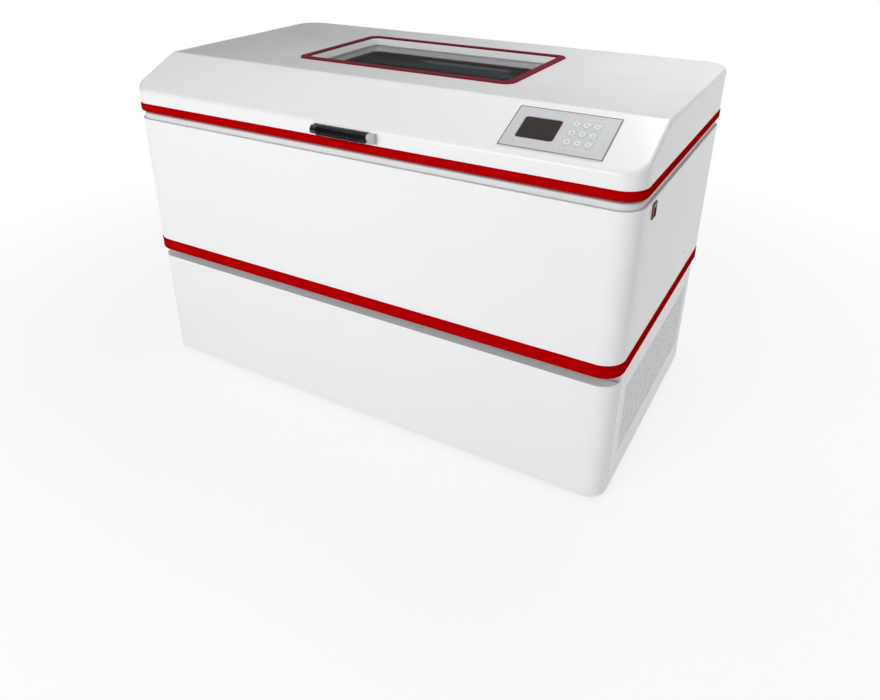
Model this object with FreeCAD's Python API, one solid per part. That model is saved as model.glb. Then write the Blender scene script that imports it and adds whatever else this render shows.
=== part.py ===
import FreeCAD, Part
import math
import os

# Chest shaker with a hinged lid: a steel base holds the drive and the cooling unit,
# an insulated steel chamber stands on it, and a sloped lid with a window closes the top.
# Millimetres. X runs along the front, Y from front to back, Z up.
# The origin is on the floor, under the middle of the body.

# Outer sizes of the body
body_width = 1180.0
body_depth = 665.0
front_corner_radius = 44.0
rear_corner_radius = 60.0
least_corner_radius = 24.0

# Heights, stacked from the floor up
foot_height = 12.0
base_panel_height = 266.0
channel_height = 21.0
lower_band_height = 28.0
body_panel_height = 301.0
rim_reveal = 18.5
lid_band_height = 18.5
lid_lip_height = 30.0
lid_rise = 60.5
lid_slope_depth = 135.5

# Sheet metal and gaps
sheet = 1.5
tank_sheet = 1.2
deck_sheet = 2.0
lid_sheet = 1.5
seam_gap = 0.8
base_seam_gap = 2.0
seat_gap = 0.3
running_gap = 0.05
cut_overrun = 5.0
panel_edge_radius = 0.6
match_tolerance = 0.03

# Base cabinet
base_inset = 4.0
frame_inset = 38.0
frame_tube = 30.0
frame_tube_wall = 2.0
ledge_gap = 3.0
body_seam_setback = 58.0
base_seam_setback = 44.0
base_rear_seam_setback = 62.0
deck_inset = 7.0

# Vented field in the base side panels
vent_hole_diameter = 5.2
vent_pitch = 9.0
vent_field_depth = 492.0
vent_field_height = 158.0
vent_field_centre_y = 4.0
vent_field_bottom = 64.0

# Rear of the base: louvre slots
slot_length = 70.0
slot_height = 6.0
slot_pitch_x = 92.0
slot_pitch_z = 16.0
slot_columns = 6
slot_rows = 8
slot_field_bottom = 80.0

# Trim bands
band_proud = 1.5
band_thickness = 13.0
band_edge_radius = 2.5

# Chamber
wall_thickness = 60.0
foam_inset = 16.0
tank_floor_height = 12.0
rim_height = 13.0
rim_inset = 5.0
rim_groove_height = 1.5
rim_groove_depth = 3.0
rim_edge_radius = 4.0
rim_top_thickness = 5.0
rim_wall = 15.0
gasket_inset = 25.0
gasket_width = 14.0
gasket_edge_radius = 2.0

# Lid
lid_edge_radius = 9.0
lid_crease_radius = 22.0
liner_sheet = 1.5
lid_thickness = 40.0

# Window
window_centre_x = -16.0
window_centre_y = 52.0
window_trim_width = 538.0
window_trim_depth = 318.0
window_trim_height = 3.5
window_trim_flange = 16.0
window_corner_radius = 24.0
window_step = 17.0
pane_thickness = 4.0
outer_pane_drop = 16.0
pane_clearance = 1.0

# Lamp in the rear of the lid
lamp_centre_x = -20.0
lamp_centre_y = 236.0
lamp_drop = 55.0
lamp_radius = 8.0
lamp_length = 262.0
lamp_cap_length = 10.0
lamp_holder_length = 16.0
lamp_holder_width = 22.0
lamp_holder_drop = 12.0
lamp_cup_wall = 2.0
lamp_pin_radius = 1.2
lamp_pin_spacing = 5.0
lamp_pin_length = 6.0

# Control panel on the slope of the lid
panel_centre_x = 418.0
panel_centre_s = 74.0
panel_width = 191.0
panel_length = 111.0
panel_thickness = 2.0
panel_corner_radius = 1.5
display_width = 69.0
display_length = 56.0
display_offset_x = -38.0
display_offset_s = -0.5
display_corner_radius = 5.0
display_thickness = 2.6
display_recess = 0.4
key_columns = 3
key_rows = 3
key_pitch_x = 19.0
key_pitch_s = 24.2
key_field_offset_x = 41.0
key_field_offset_s = 0.8
key_radius = 7.0
key_clearance = 0.3
key_proud = 0.8
key_flange_radius = 8.4
key_flange_thickness = 1.4
key_stem_radius = 3.0
key_travel = 0.5
key_edge_radius = 0.5
panel_cutout_width = 166.0
panel_cutout_length = 84.0
board_width = 184.0
board_length = 101.0
board_thickness = 1.6
board_depth = 12.0
board_standoff_radius = 3.0
board_standoff_inset = 4.0
tact_switch_size = 6.0
tact_switch_height = 2.2
display_module_margin = 3.0
pocket_depth = 30.0
pocket_margin = 1.5

# Lid latch handle on the front lip
latch_centre_x = 8.0
latch_width = 146.0
latch_height = 19.0
latch_plate_thickness = 3.0
latch_cheek_thickness = 14.0
latch_cheek_depth = 16.0
latch_knob_radius = 9.0
latch_axis_drop = 5.0
latch_axis_reach = 9.0
latch_pin_radius = 2.0
latch_side_gap = 0.5
latch_bar_radius = 5.6
latch_lever_drop = 15.5
latch_lever_sheet = 3.0
latch_rib_shares = (0.06, 0.17, 0.65, 0.76, 0.94)
latch_rib_width = 1.6
latch_rib_proud = 0.8

# Hinges at the rear
hinge_offset_x = 380.0
hinge_width = 92.0
hinge_barrel_radius = 7.0
hinge_pin_radius = 3.0
hinge_leaf_thickness = 3.0
hinge_leaf_width = 80.0
hinge_leaf_height = 62.0
hinge_knuckle_gap = 0.4
hinge_axis_drop = 8.5
hinge_screw_radius = 4.0
hinge_screw_height = 2.0
hinge_screw_inset = 12.0

# Mains rocker switch on the right side
switch_centre_y = -238.0
switch_centre_drop = 22.0
switch_bezel_width = 24.0
switch_bezel_height = 30.0
switch_bezel_thickness = 2.2
switch_body_depth = 26.0
switch_wall = 1.6
switch_cavity_depth = 14.0
switch_tilt = 9.0
rocker_clearance = 0.7
rocker_axis_depth = 4.0
rocker_rise = 3.2
rocker_dip = 1.4
rocker_pin_radius = 1.6
rocker_hub_radius = 3.2

# Mains inlet on the rear of the base
inlet_centre_x = -470.0
inlet_centre_z = 150.0
inlet_flange_width = 50.0
inlet_flange_height = 28.0
inlet_flange_thickness = 3.0
inlet_body_width = 28.0
inlet_body_height = 21.0
inlet_body_depth = 24.0
inlet_mouth_width = 24.5
inlet_mouth_height = 17.0
inlet_mouth_depth = 17.5
inlet_mouth_chamfer = 5.0
inlet_pin_width = 2.0
inlet_pin_height = 4.0
inlet_pin_length = 12.0
inlet_pin_spacing = 7.0
inlet_pin_offset = 2.0
inlet_screw_spacing = 40.0
inlet_screw_radius = 1.75

# Orbital drive
drive_centre_x = -50.0
drive_centre_y = -60.0
idler_offset_x = 300.0
idler_offset_y = 170.0
orbit_radius = 12.5
drive_plate_length = 720.0
drive_plate_width = 300.0
drive_plate_thickness = 8.0
housing_radius = 35.0
idler_housing_radius = 28.0
housing_top_above_floor = 14.0
spindle_radius = 12.5
idler_shaft_radius = 10.0
crank_disc_radius = 45.0
idler_disc_radius = 36.0
crank_disc_thickness = 12.0
crank_pin_radius = 10.0
idler_pin_radius = 8.0
crank_pin_length = 26.0
crank_lift = 0.5
counterweight_radius = 84.0
counterweight_angle = 110.0
shaft_end_gap = 4.0
platform_length = 870.0
platform_width = 480.0
platform_thickness = 8.0
platform_hub_height = 24.0
platform_hub_gap = 1.5
platform_hub_wall = 16.0
platform_corner_radius = 15.0
platform_lip_height = 14.0
platform_lip_thickness = 5.0
clamp_hole_radius = 2.5
clamp_spacing_x = 90.0
clamp_spacing_y = 90.0
clamp_columns = 9
clamp_rows = 5
shaft_seal_gap = 1.0

# Belt drive under the deck
pulley_radius = 75.0
pulley_width = 18.0
pulley_drop = 42.0
pulley_flange = 2.0
pulley_flange_rise = 1.8
pulley_web = 6.0
pulley_rim = 9.0
pulley_hub_radius = 22.0
motor_pulley_radius = 30.0
motor_offset_x = 230.0
belt_thickness = 3.5
belt_width = 13.0
belt_gap = 0.3
motor_radius = 58.0
motor_length = 158.0
motor_shaft_radius = 8.0
motor_plate_width = 180.0
motor_plate_length = 176.0
motor_plate_thickness = 8.0
motor_plate_drop = 67.0
motor_standoff_radius = 8.0
motor_standoff_inset = 16.0
motor_fin_count = 20
motor_fin_height = 5.0
motor_fin_width = 3.0
motor_bell_height = 16.0

# Cooling unit in the base
rail_offset_y = 120.0
compressor_x = -235.0
compressor_y = 60.0
compressor_radius = 72.0
compressor_shell_height = 108.0
compressor_dome_height = 34.0
compressor_dome_radius = 30.6
compressor_seam_height = 6.0
compressor_seam_proud = 4.0
compressor_plate_length = 220.0
compressor_plate_width = 290.0
compressor_plate_thickness = 3.0
grommet_radius = 12.0
grommet_height = 14.0
compressor_stub_radius = 4.0
compressor_stub_length = 22.0
condenser_width = 300.0
condenser_height = 206.0
condenser_depth = 44.0
condenser_gap = 7.0
condenser_fin_thickness = 0.8
condenser_fin_pitch = 9.0
condenser_tube_radius = 4.8
condenser_tube_pitch = 34.0
condenser_tube_columns = 2
coil_tube_stub = 4.0
shroud_thickness = 1.5
shroud_depth = 26.0
fan_ring_radius = 92.0
fan_tip_gap = 5.0
fan_blade_count = 5
fan_blade_thickness = 2.0
fan_hub_radius = 26.0
fan_hub_depth = 15.0
fan_blade_pitch = 28.0
fan_blade_chord_share = 0.8
fan_shaft_radius = 3.0
fan_motor_radius = 36.0
fan_motor_length = 44.0
fan_arm_width = 10.0
fan_arm_thickness = 4.0
fan_arm_count = 4
fan_motor_gap = 3.0

# Air duct at the right end of the chamber
duct_width = 100.0
duct_height = 180.0
duct_intake_radius = 62.0
duct_intake_height = 92.0
duct_outlet_length = 130.0
chamber_fan_radius = 52.0
chamber_fan_depth = 18.0
chamber_fan_gap = 7.0
chamber_fan_vanes = 12
chamber_fan_vane_thickness = 1.5
chamber_fan_vane_length = 20.0
chamber_fan_plate = 1.5
chamber_motor_radius = 30.0
chamber_motor_length = 48.0
heater_radius = 66.0
heater_tube_radius = 4.0
heater_turn_spacing = 14.0
heater_clip_size = 10.0
evaporator_length = 114.0
evaporator_height = 150.0
evaporator_depth = 40.0
evaporator_fin_pitch = 7.5
evaporator_tube_pitch = 37.5
guard_ring_count = 4
guard_wire_radius = 1.2

# Temperature probe on the rear chamber wall
probe_x = 300.0
probe_height = 225.0
probe_radius = 3.0
probe_length = 60.0
probe_gland_radius = 11.0
probe_gland_length = 9.0

# Levelling feet
foot_pad_radius = 26.0
foot_stem_radius = 6.0
foot_stem_length = 24.0
foot_stem_gap = 0.4
foot_edge_radius = 2.0

half_width = body_width / 2
half_depth = body_depth / 2
base_bottom = foot_height
base_panel_top = base_bottom + base_panel_height
deck_top = base_panel_top + channel_height
deck_bottom = deck_top - deck_sheet
body_bottom = deck_top + lower_band_height
body_top = body_bottom + body_panel_height
lid_bottom = body_top + rim_reveal
lid_band_top = lid_bottom + lid_band_height
lid_lip_top = lid_band_top + lid_lip_height
lid_top = lid_lip_top + lid_rise
rim_top = body_top + rim_height
tank_floor_bottom = deck_top + drive_plate_thickness + foam_inset + tank_floor_height
tank_floor_top = tank_floor_bottom + tank_sheet
frame_x = half_width - frame_inset
frame_y = half_depth - frame_inset
rail_top = base_bottom + frame_tube
slope_angle = math.degrees(math.atan2(lid_rise, lid_slope_depth))
liner_ceiling = lid_top - lid_thickness
hinge_axis_y = half_depth + band_proud + hinge_leaf_thickness / 2 + hinge_barrel_radius
hinge_axis_z = lid_bottom - hinge_axis_drop
pulley_z = deck_bottom - pulley_drop - pulley_width / 2
housing_top = tank_floor_top + housing_top_above_floor
crank_disc_bottom = housing_top + crank_lift
crank_disc_top = crank_disc_bottom + crank_disc_thickness
platform_bottom = crank_disc_top + platform_hub_gap + platform_hub_height
platform_top = platform_bottom + platform_thickness
duct_face_x = half_width - wall_thickness - duct_width
duct_top = tank_floor_top + duct_height
chamber_x = half_width - wall_thickness
chamber_y = half_depth - wall_thickness
switch_centre_z = body_top - switch_centre_drop
motor_x = drive_centre_x + motor_offset_x
cooling_floor = rail_top

x_axis = FreeCAD.Vector(1, 0, 0)
y_axis = FreeCAD.Vector(0, 1, 0)
z_axis = FreeCAD.Vector(0, 0, 1)


def point(x, y, z=0.0):
    return FreeCAD.Vector(x, y, z)


def block(x_range, y_range, z_range):
    """Box between two values on each axis."""
    low = point(min(x_range), min(y_range), min(z_range))
    high = point(max(x_range), max(y_range), max(z_range))
    size = high - low
    return Part.makeBox(size.x, size.y, size.z, low)


def around(middle, size):
    """Range of a given size about its middle."""
    return (middle - size / 2, middle + size / 2)


def rod(radius, start, length, axis=z_axis):
    return Part.makeCylinder(radius, length, start, axis)


def union(shapes):
    whole = shapes[0]
    if len(shapes) > 1:
        whole = whole.fuse(shapes[1:])
    return whole.removeSplitter()


def group(shapes):
    return Part.makeCompound(shapes)


def corner_arc(centre, radius, start_degrees):
    """Quarter circle, anticlockwise from a start angle."""
    spots = []
    for share in (0.0, 0.5, 1.0):
        angle = math.radians(start_degrees + share * 90.0)
        spots.append(centre + point(radius * math.cos(angle), radius * math.sin(angle)))
    return Part.Arc(*spots).toShape()


def rounded_wire(x_range, y_range, front_radius, rear_radius, z=0.0):
    """Rectangle with round corners, front pair and rear pair each with a radius."""
    left, right = x_range
    front, rear = y_range
    corners = [
        (point(right - front_radius, front + front_radius, z), front_radius, -90.0),
        (point(right - rear_radius, rear - rear_radius, z), rear_radius, 0.0),
        (point(left + rear_radius, rear - rear_radius, z), rear_radius, 90.0),
        (point(left + front_radius, front + front_radius, z), front_radius, 180.0),
    ]
    arcs = [corner_arc(*corner) for corner in corners]
    edges = []
    for index, arc in enumerate(arcs):
        following = arcs[(index + 1) % len(arcs)]
        edges.append(arc)
        edges.append(Part.makeLine(arc.Vertexes[-1].Point, following.Vertexes[0].Point))
    return Part.Wire(edges)


def rounded_block(x_range, y_range, z_range, radius):
    low, high = min(z_range), max(z_range)
    wire = rounded_wire(x_range, y_range, radius, radius, low)
    return Part.Face(wire).extrude(z_axis * (high - low))


def plan_outline(inset, z):
    """The body's outline seen from above, drawn in by an inset."""
    front_radius = max(front_corner_radius - inset, least_corner_radius)
    rear_radius = max(rear_corner_radius - inset, least_corner_radius)
    x_range = (inset - half_width, half_width - inset)
    y_range = (inset - half_depth, half_depth - inset)
    return rounded_wire(x_range, y_range, front_radius, rear_radius, z)


def plan_prism(inset, bottom, top):
    return Part.Face(plan_outline(inset, bottom)).extrude(z_axis * (top - bottom))


def plan_ring(outer_inset, inner_inset, bottom, top):
    outer = plan_prism(outer_inset, bottom, top)
    inner = plan_prism(inner_inset, bottom - cut_overrun, top + cut_overrun)
    return outer.cut(inner)


def slab(y_range):
    """Space between two values of Y, wider and taller than the whole shaker."""
    reach = body_width + cut_overrun
    return block((-reach, reach), y_range, (-reach, reach + lid_top))


def profile_prism(points, direction):
    """Closed polygon of 3-D points, extruded."""
    return Part.Face(Part.makePolygon(points + points[:1])).extrude(direction)


def fillet_where(shape, radius, test):
    edges = [edge for edge in shape.Edges if test(edge)]
    return shape.makeFillet(radius, edges) if edges else shape


def flat_edge_at(height):
    """True for an edge that lies whole at one height."""
    return lambda edge: (abs(edge.BoundBox.ZMin - height) < match_tolerance
                         and abs(edge.BoundBox.ZMax - height) < match_tolerance)


def save(shape, node):
    shape.exportStep("parts/" + node + ".step")
    print(node, len(shape.Solids), "solids")


# Slope frame: x along the front, s up the slope, n out of the slope's face

def on_slope(shape):
    placed = shape.copy()
    placed.rotate(point(0, 0), x_axis, slope_angle)
    placed.translate(point(0, -half_depth, lid_lip_top))
    return placed


# Base cabinet

def frame_bar(x_range, y_range, z_range, axis):
    """Square tube along one axis, open at its ends."""
    bar = block(x_range, y_range, z_range)
    wall = frame_tube_wall
    ranges = [x_range, y_range, z_range]
    for index in range(3):
        low, high = min(ranges[index]), max(ranges[index])
        if index == axis:
            ranges[index] = (low - cut_overrun, high + cut_overrun)
        else:
            ranges[index] = (low + wall, high - wall)
    return bar.cut(block(*ranges))


def base_frame():
    low = (base_bottom, rail_top)
    high = (deck_bottom - frame_tube, deck_bottom)
    between = (rail_top, deck_bottom - frame_tube)
    bars = []
    for side in (-1, 1):
        rail_y = (side * frame_y, side * (frame_y - frame_tube))
        post_x = (side * frame_x, side * (frame_x - frame_tube))
        inner_y = (frame_tube - frame_y, frame_y - frame_tube)
        inner_x = (frame_tube - frame_x, frame_x - frame_tube)
        for level in (low, high):
            bars.append(frame_bar((-frame_x, frame_x), rail_y, level, 0))
            bars.append(frame_bar(post_x, inner_y, level, 1))
        bars.append(frame_bar(inner_x, around(side * rail_offset_y, frame_tube), low, 0))
        for front in (-1, 1):
            post_y = (front * frame_y, front * (frame_y - frame_tube))
            bars.append(frame_bar(post_x, post_y, between, 2))
    for side in (-1, 1):
        cross_x = drive_centre_x + side * (drive_plate_length - frame_tube) / 2
        bars.append(frame_bar(around(cross_x, frame_tube), inner_y, high, 1))
    deck = plan_prism(deck_inset, deck_bottom, deck_top)
    shaft_hole = rod(spindle_radius + shaft_seal_gap * 2, point(drive_centre_x, drive_centre_y,
                     deck_bottom - cut_overrun), deck_sheet + cut_overrun * 2)
    stem_holes = [rod(foot_stem_radius + foot_stem_gap, point(x, y, base_bottom - cut_overrun),
                      frame_tube_wall + cut_overrun) for x, y in foot_places()]
    bars = [bar.cut(stem_holes) for bar in bars]
    return group(bars + [deck.cut(shaft_hole)])


def foot_places():
    spots = []
    for side in (-1, 1):
        for front in (-1, 1):
            x = side * (frame_x - frame_tube - foot_pad_radius)
            spots.append((x, front * (frame_y - frame_tube / 2)))
    return spots


def levelling_feet():
    feet = []
    for x, y in foot_places():
        pad = rod(foot_pad_radius, point(x, y, 0.0), foot_height)
        pad = fillet_where(pad, foot_edge_radius, flat_edge_at(0.0))
        stem = rod(foot_stem_radius, point(x, y, foot_height), foot_stem_length)
        feet.append(union([pad, stem]))
    return group(feet)


def base_front_panel():
    """Front sheet with round corners, on a ledge, a sill and an upright strip at each end."""
    inner = base_inset + sheet
    inside = plan_prism(inner, base_bottom, base_panel_top)
    seam = slab((-half_depth - cut_overrun, base_seam_setback - half_depth))
    wrap = plan_ring(base_inset, inner, base_bottom, base_panel_top).common(seam)
    ledge_reach = slab((-half_depth - cut_overrun, -frame_y - ledge_gap))
    ledge = plan_prism(inner, base_panel_top - sheet, base_panel_top).common(ledge_reach)
    sill_reach = slab((-half_depth - cut_overrun, -frame_y))
    sill = plan_prism(inner, base_bottom, base_bottom + sheet).common(sill_reach)
    seam_y = base_seam_setback - half_depth
    strips = []
    for side in (-1, 1):
        x_range = (side * frame_x, side * (half_width - inner))
        strip = block(x_range, (seam_y - sheet, seam_y), (base_bottom + sheet, base_panel_top))
        strips.append(strip.common(inside))
    return group([fillet_outer_top(wrap), ledge, sill] + strips)


def fillet_outer_top(panel):
    """Softens the outer top edge of the front panel, inside its sheet thickness."""
    height = flat_edge_at(base_panel_top)
    outer = base_inset + panel_edge_radius

    def on_front(edge):
        centre = edge.CenterOfMass
        front = abs(centre.y + half_depth - base_inset) < panel_edge_radius
        return height(edge) and front and edge.Length > body_width - outer * 4 - rear_corner_radius
    return fillet_where(panel, panel_edge_radius, on_front)


def vent_holes(face_x, z_bottom):
    """Staggered rows of round holes in a side panel, as one face pattern."""
    row_step = vent_pitch * math.sqrt(3.0) / 2
    rows = int(vent_field_height // row_step) + 1
    columns = int(vent_field_depth // vent_pitch)
    holes = []
    for row in range(rows):
        shift = (row % 2) * vent_pitch / 2
        for column in range(columns):
            y = vent_field_centre_y - vent_field_depth / 2 + column * vent_pitch + shift
            centre = point(face_x, y + vent_pitch / 2, z_bottom + row * row_step)
            circle = Part.Circle(centre, x_axis, vent_hole_diameter / 2)
            hole = Part.Wire([circle.toShape()])
            hole.reverse()
            holes.append(hole)
    return holes


def base_right_panel():
    """Flat vented panel on four strips that reach in to the frame."""
    outer_x = half_width - base_inset
    inner_x = outer_x - sheet
    front = base_seam_setback - half_depth + base_seam_gap
    rear = half_depth - base_rear_seam_setback - base_seam_gap
    bottom, top = base_bottom, deck_bottom
    corners = [point(inner_x, front, bottom), point(inner_x, rear, bottom),
               point(inner_x, rear, top), point(inner_x, front, top)]
    skin = Part.Face(Part.makePolygon(corners + corners[:1]))
    skin.cutHoles(vent_holes(inner_x, base_bottom + vent_field_bottom))
    plate = skin.extrude(x_axis * sheet)
    strip_x = (frame_x, inner_x)
    strips = [
        block(strip_x, (front, rear), (bottom, bottom + sheet)),
        block(strip_x, (front, rear), (top - sheet, top)),
        block(strip_x, (front, front + sheet), (bottom + sheet, top - sheet)),
        block(strip_x, (rear - sheet, rear), (bottom + sheet, top - sheet)),
    ]
    return group([plate] + strips)


def base_rear_panel():
    inner = base_inset + sheet
    seam_y = half_depth - base_rear_seam_setback
    seam = slab((seam_y, half_depth + cut_overrun))
    wrap = plan_ring(base_inset, inner, base_bottom, deck_bottom).common(seam)
    reach = slab((frame_y, half_depth + cut_overrun))
    sills = [plan_prism(inner, z, z + sheet).common(reach)
             for z in (base_bottom, deck_bottom - sheet)]
    slots = []
    for row in range(slot_rows):
        for column in range(slot_columns):
            x = (column - (slot_columns - 1) / 2) * slot_pitch_x
            z = base_bottom + slot_field_bottom + row * slot_pitch_z
            slots.append(block(around(x, slot_length), (frame_y + frame_tube, half_depth),
                               around(z, slot_height)))
    mouth = block(around(inlet_centre_x, inlet_body_width + seam_gap), (frame_y, half_depth),
                  around(inlet_centre_z, inlet_body_height + seam_gap))
    wrap = wrap.cut([slot.common(seam) for slot in slots] + [mouth])
    return union([wrap] + sills)


def trim_band(bottom, top):
    ring = plan_ring(-band_proud, band_thickness - band_proud, bottom, top)
    outer_x = half_width + band_proud

    def outside(edge):
        box = edge.BoundBox
        flat = flat_edge_at(bottom)(edge) or flat_edge_at(top)(edge)
        reach = max(abs(box.XMin), abs(box.XMax), abs(box.YMin) + half_width - half_depth,
                    abs(box.YMax) + half_width - half_depth)
        return flat and reach > outer_x - panel_edge_radius
    return fillet_where(ring, band_edge_radius, outside)


def body_front_panel():
    seam_y = body_seam_setback - half_depth
    seam = slab((-half_depth - cut_overrun, seam_y))
    wrap = plan_ring(0.0, sheet, body_bottom, body_top).common(seam)
    folds = [plan_ring(sheet, foam_inset, z, z + sheet).common(seam)
             for z in (body_bottom, body_top - sheet)]
    return union([wrap] + folds)


def switch_opening(clearance):
    width = switch_bezel_width - switch_wall * 2 + clearance
    height = switch_bezel_height - switch_wall * 2 + clearance
    return block((half_width - switch_body_depth - clearance, half_width + cut_overrun),
                 around(switch_centre_y, width), around(switch_centre_z, height))


def body_wrap_panel():
    """One sheet round the sides and the back of the chamber."""
    seam_y = body_seam_setback - half_depth + seam_gap
    seam = slab((seam_y, half_depth + cut_overrun))
    wrap = plan_ring(0.0, sheet, body_bottom, body_top).common(seam)
    folds = [plan_ring(sheet, foam_inset, z, z + sheet).common(seam)
             for z in (body_bottom, body_top - sheet)]
    return union([wrap] + folds).cut(switch_opening(0.0))


# Insulated chamber

def lengths_and_corners(ring):
    """Divides a ring of the tub into four straight lengths and four corners."""
    x = chamber_x - least_corner_radius
    y = chamber_y - least_corner_radius
    x_bands = ((-half_width, -x), (-x, x), (x, half_width))
    y_bands = ((-half_depth, -y), (-y, y), (y, half_depth))
    sections = []
    for x_range in x_bands:
        for y_range in y_bands:
            sections += ring.common(block(x_range, y_range, (tank_floor_bottom, body_top))).Solids
    return sections


def chamber_tank():
    """Stainless tub of floor, wall and corner sheets, with a flange that rests on the panels' folds."""
    inner_edge = wall_thickness - tank_sheet
    floor = plan_prism(inner_edge, tank_floor_bottom, tank_floor_top).cut(housing_holes(shaft_seal_gap))
    walls = plan_ring(inner_edge, wall_thickness, tank_floor_top, body_top - tank_sheet)
    flange = plan_ring(foam_inset, wall_thickness, body_top - tank_sheet, body_top)
    return group([floor] + lengths_and_corners(walls) + lengths_and_corners(flange))

def housing_places():
    spots = [(drive_centre_x, drive_centre_y, housing_radius)]
    for side in (-1, 1):
        spots.append((drive_centre_x + side * idler_offset_x,
                      drive_centre_y + idler_offset_y, idler_housing_radius))
    return spots


def housing_holes(clearance):
    return [rod(radius + clearance, point(x, y, deck_bottom), housing_top - deck_bottom)
            for x, y, radius in housing_places()]


def tank_insulation():
    foam = plan_prism(foam_inset, deck_top, body_top - tank_sheet)
    tub = plan_prism(wall_thickness - tank_sheet, tank_floor_bottom, body_top + cut_overrun)
    plate_pocket = drive_plate_blank(seam_gap)
    tools = [tub, plate_pocket, switch_opening(seam_gap * 2)] + housing_holes(shaft_seal_gap)
    return foam.cut(tools)


def rim_frame():
    bottom_inset = rim_inset + rim_groove_depth
    foot = plan_ring(bottom_inset, wall_thickness, body_top, body_top + rim_groove_height)
    crown = plan_ring(rim_inset, wall_thickness, body_top + rim_groove_height, rim_top)
    hollow = plan_ring(rim_inset + rim_wall, wall_thickness - rim_wall,
                       body_top - cut_overrun, rim_top - rim_top_thickness)
    frame = union([foot, crown]).cut(hollow)
    return fillet_where(frame, rim_edge_radius, flat_edge_at(rim_top))


def rim_gasket():
    seal_top = lid_bottom - seat_gap
    ring = plan_ring(gasket_inset, gasket_inset + gasket_width, rim_top, seal_top)
    return fillet_where(ring, gasket_edge_radius, flat_edge_at(seal_top))


# Lid

def lid_block(inset, drop, bottom):
    """Solid under the lid's outer skin, drawn in at the sides and down at the top."""
    body = plan_prism(inset, bottom, lid_top - drop)
    reach = body_width
    low_z = lid_lip_top - drop
    steep = lid_rise / lid_slope_depth
    start = point(-reach, -half_depth - reach, low_z - reach * steep)
    end = point(-reach, -half_depth + lid_slope_depth + reach, low_z + lid_rise + reach * steep)
    above = [start, end, point(-reach, start.y, end.z)]
    return body.cut(profile_prism(above, x_axis * reach * 2))


def soft_lid_block(inset, drop, bottom):
    """The lid block with its crease and its outer top edges rounded."""
    body = lid_block(inset, drop, bottom)
    crease_y = -half_depth + lid_slope_depth
    top = lid_top - drop

    def crease(edge):
        return flat_edge_at(top)(edge) and abs(edge.CenterOfMass.y - crease_y) < seam_gap
    body = fillet_where(body, lid_crease_radius - drop, crease)
    outline = plan_outline(inset, 0.0)

    def rim(edge):
        middle = edge.valueAt((edge.FirstParameter + edge.LastParameter) / 2)
        spot = Part.Vertex(point(middle.x, middle.y))
        upright = edge.BoundBox.XLength < seam_gap and edge.BoundBox.YLength < seam_gap
        high = middle.z > bottom + seam_gap
        return high and not upright and outline.distToShape(spot)[0] < match_tolerance
    return fillet_where(body, lid_edge_radius - drop, rim)


def window_box(width, depth, radius, bottom, top):
    return rounded_block(around(window_centre_x, width), around(window_centre_y, depth),
                         (bottom, top), radius)


well_width = window_trim_width - window_trim_flange * 2
well_depth = window_trim_depth - window_trim_flange * 2
well_radius = window_corner_radius - window_trim_flange / 2
step_width = well_width - window_step * 2
step_depth = well_depth - window_step * 2
step_radius = well_radius - window_step / 4
outer_pane_top = lid_top - outer_pane_drop
outer_pane_bottom = outer_pane_top - pane_thickness
liner_top = liner_ceiling + liner_sheet


def lid_shell():
    shell = soft_lid_block(0.0, 0.0, lid_band_top)
    hollow = soft_lid_block(lid_sheet, lid_sheet, lid_band_top - cut_overrun)
    shell = shell.cut(hollow)
    collar_outer = window_box(well_width + lid_sheet * 2, well_depth + lid_sheet * 2,
                              well_radius + lid_sheet, liner_top, lid_top - lid_sheet)
    well = window_box(well_width, well_depth, well_radius, liner_top - cut_overrun,
                      lid_top + cut_overrun)
    cutout = on_slope(block(around(panel_centre_x, panel_cutout_width),
                            around(panel_centre_s, panel_cutout_length),
                            (-lid_sheet * 2, lid_sheet)))
    return union([shell, collar_outer]).cut([well, cutout])


def lid_liner():
    """Inner skin of the lid, with a stepped frame for the two window panes."""
    inset = wall_thickness
    tub = lid_block(inset - liner_sheet, lid_thickness - liner_sheet, lid_bottom)
    hollow = lid_block(inset, lid_thickness, lid_bottom - cut_overrun)
    flange = plan_ring(band_thickness - band_proud, inset - liner_sheet, lid_bottom,
                       lid_bottom + liner_sheet)
    neck_width = step_width - window_step * 2
    neck_depth = step_depth - window_step * 2
    neck = window_box(neck_width, neck_depth, step_radius, liner_ceiling - cut_overrun,
                      lid_top)
    collar = window_box(step_width, step_depth, step_radius, liner_top, outer_pane_bottom)
    collar_hollow = window_box(step_width - liner_sheet * 2, step_depth - liner_sheet * 2,
                               step_radius - liner_sheet, liner_top, outer_pane_bottom)
    ledge = window_box(well_width, well_depth, well_radius, outer_pane_bottom - liner_sheet,
                       outer_pane_bottom)
    skin = union([tub.cut(hollow), flange]).cut(neck)
    frame = union([collar, ledge]).cut(collar_hollow)
    return union([skin, frame])


def window_panes():
    outer = window_box(well_width - pane_clearance, well_depth - pane_clearance,
                       well_radius - pane_clearance, outer_pane_bottom, outer_pane_top)
    inner_gap = liner_sheet * 2 + pane_clearance
    inner = window_box(step_width - inner_gap, step_depth - inner_gap,
                       step_radius - inner_gap / 2, liner_top, liner_top + pane_thickness)
    return group([outer, inner])


def window_trim():
    """Flat frame on the lid, flush with the wall of the well."""
    flange = window_box(window_trim_width, window_trim_depth, window_corner_radius,
                        lid_top, lid_top + window_trim_height)
    flange = fillet_where(flange, window_trim_height / 2, flat_edge_at(lid_top + window_trim_height))
    opening = window_box(well_width, well_depth, well_radius, lid_top - cut_overrun,
                         lid_top + window_trim_height + cut_overrun)
    return flange.cut(opening)


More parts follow.
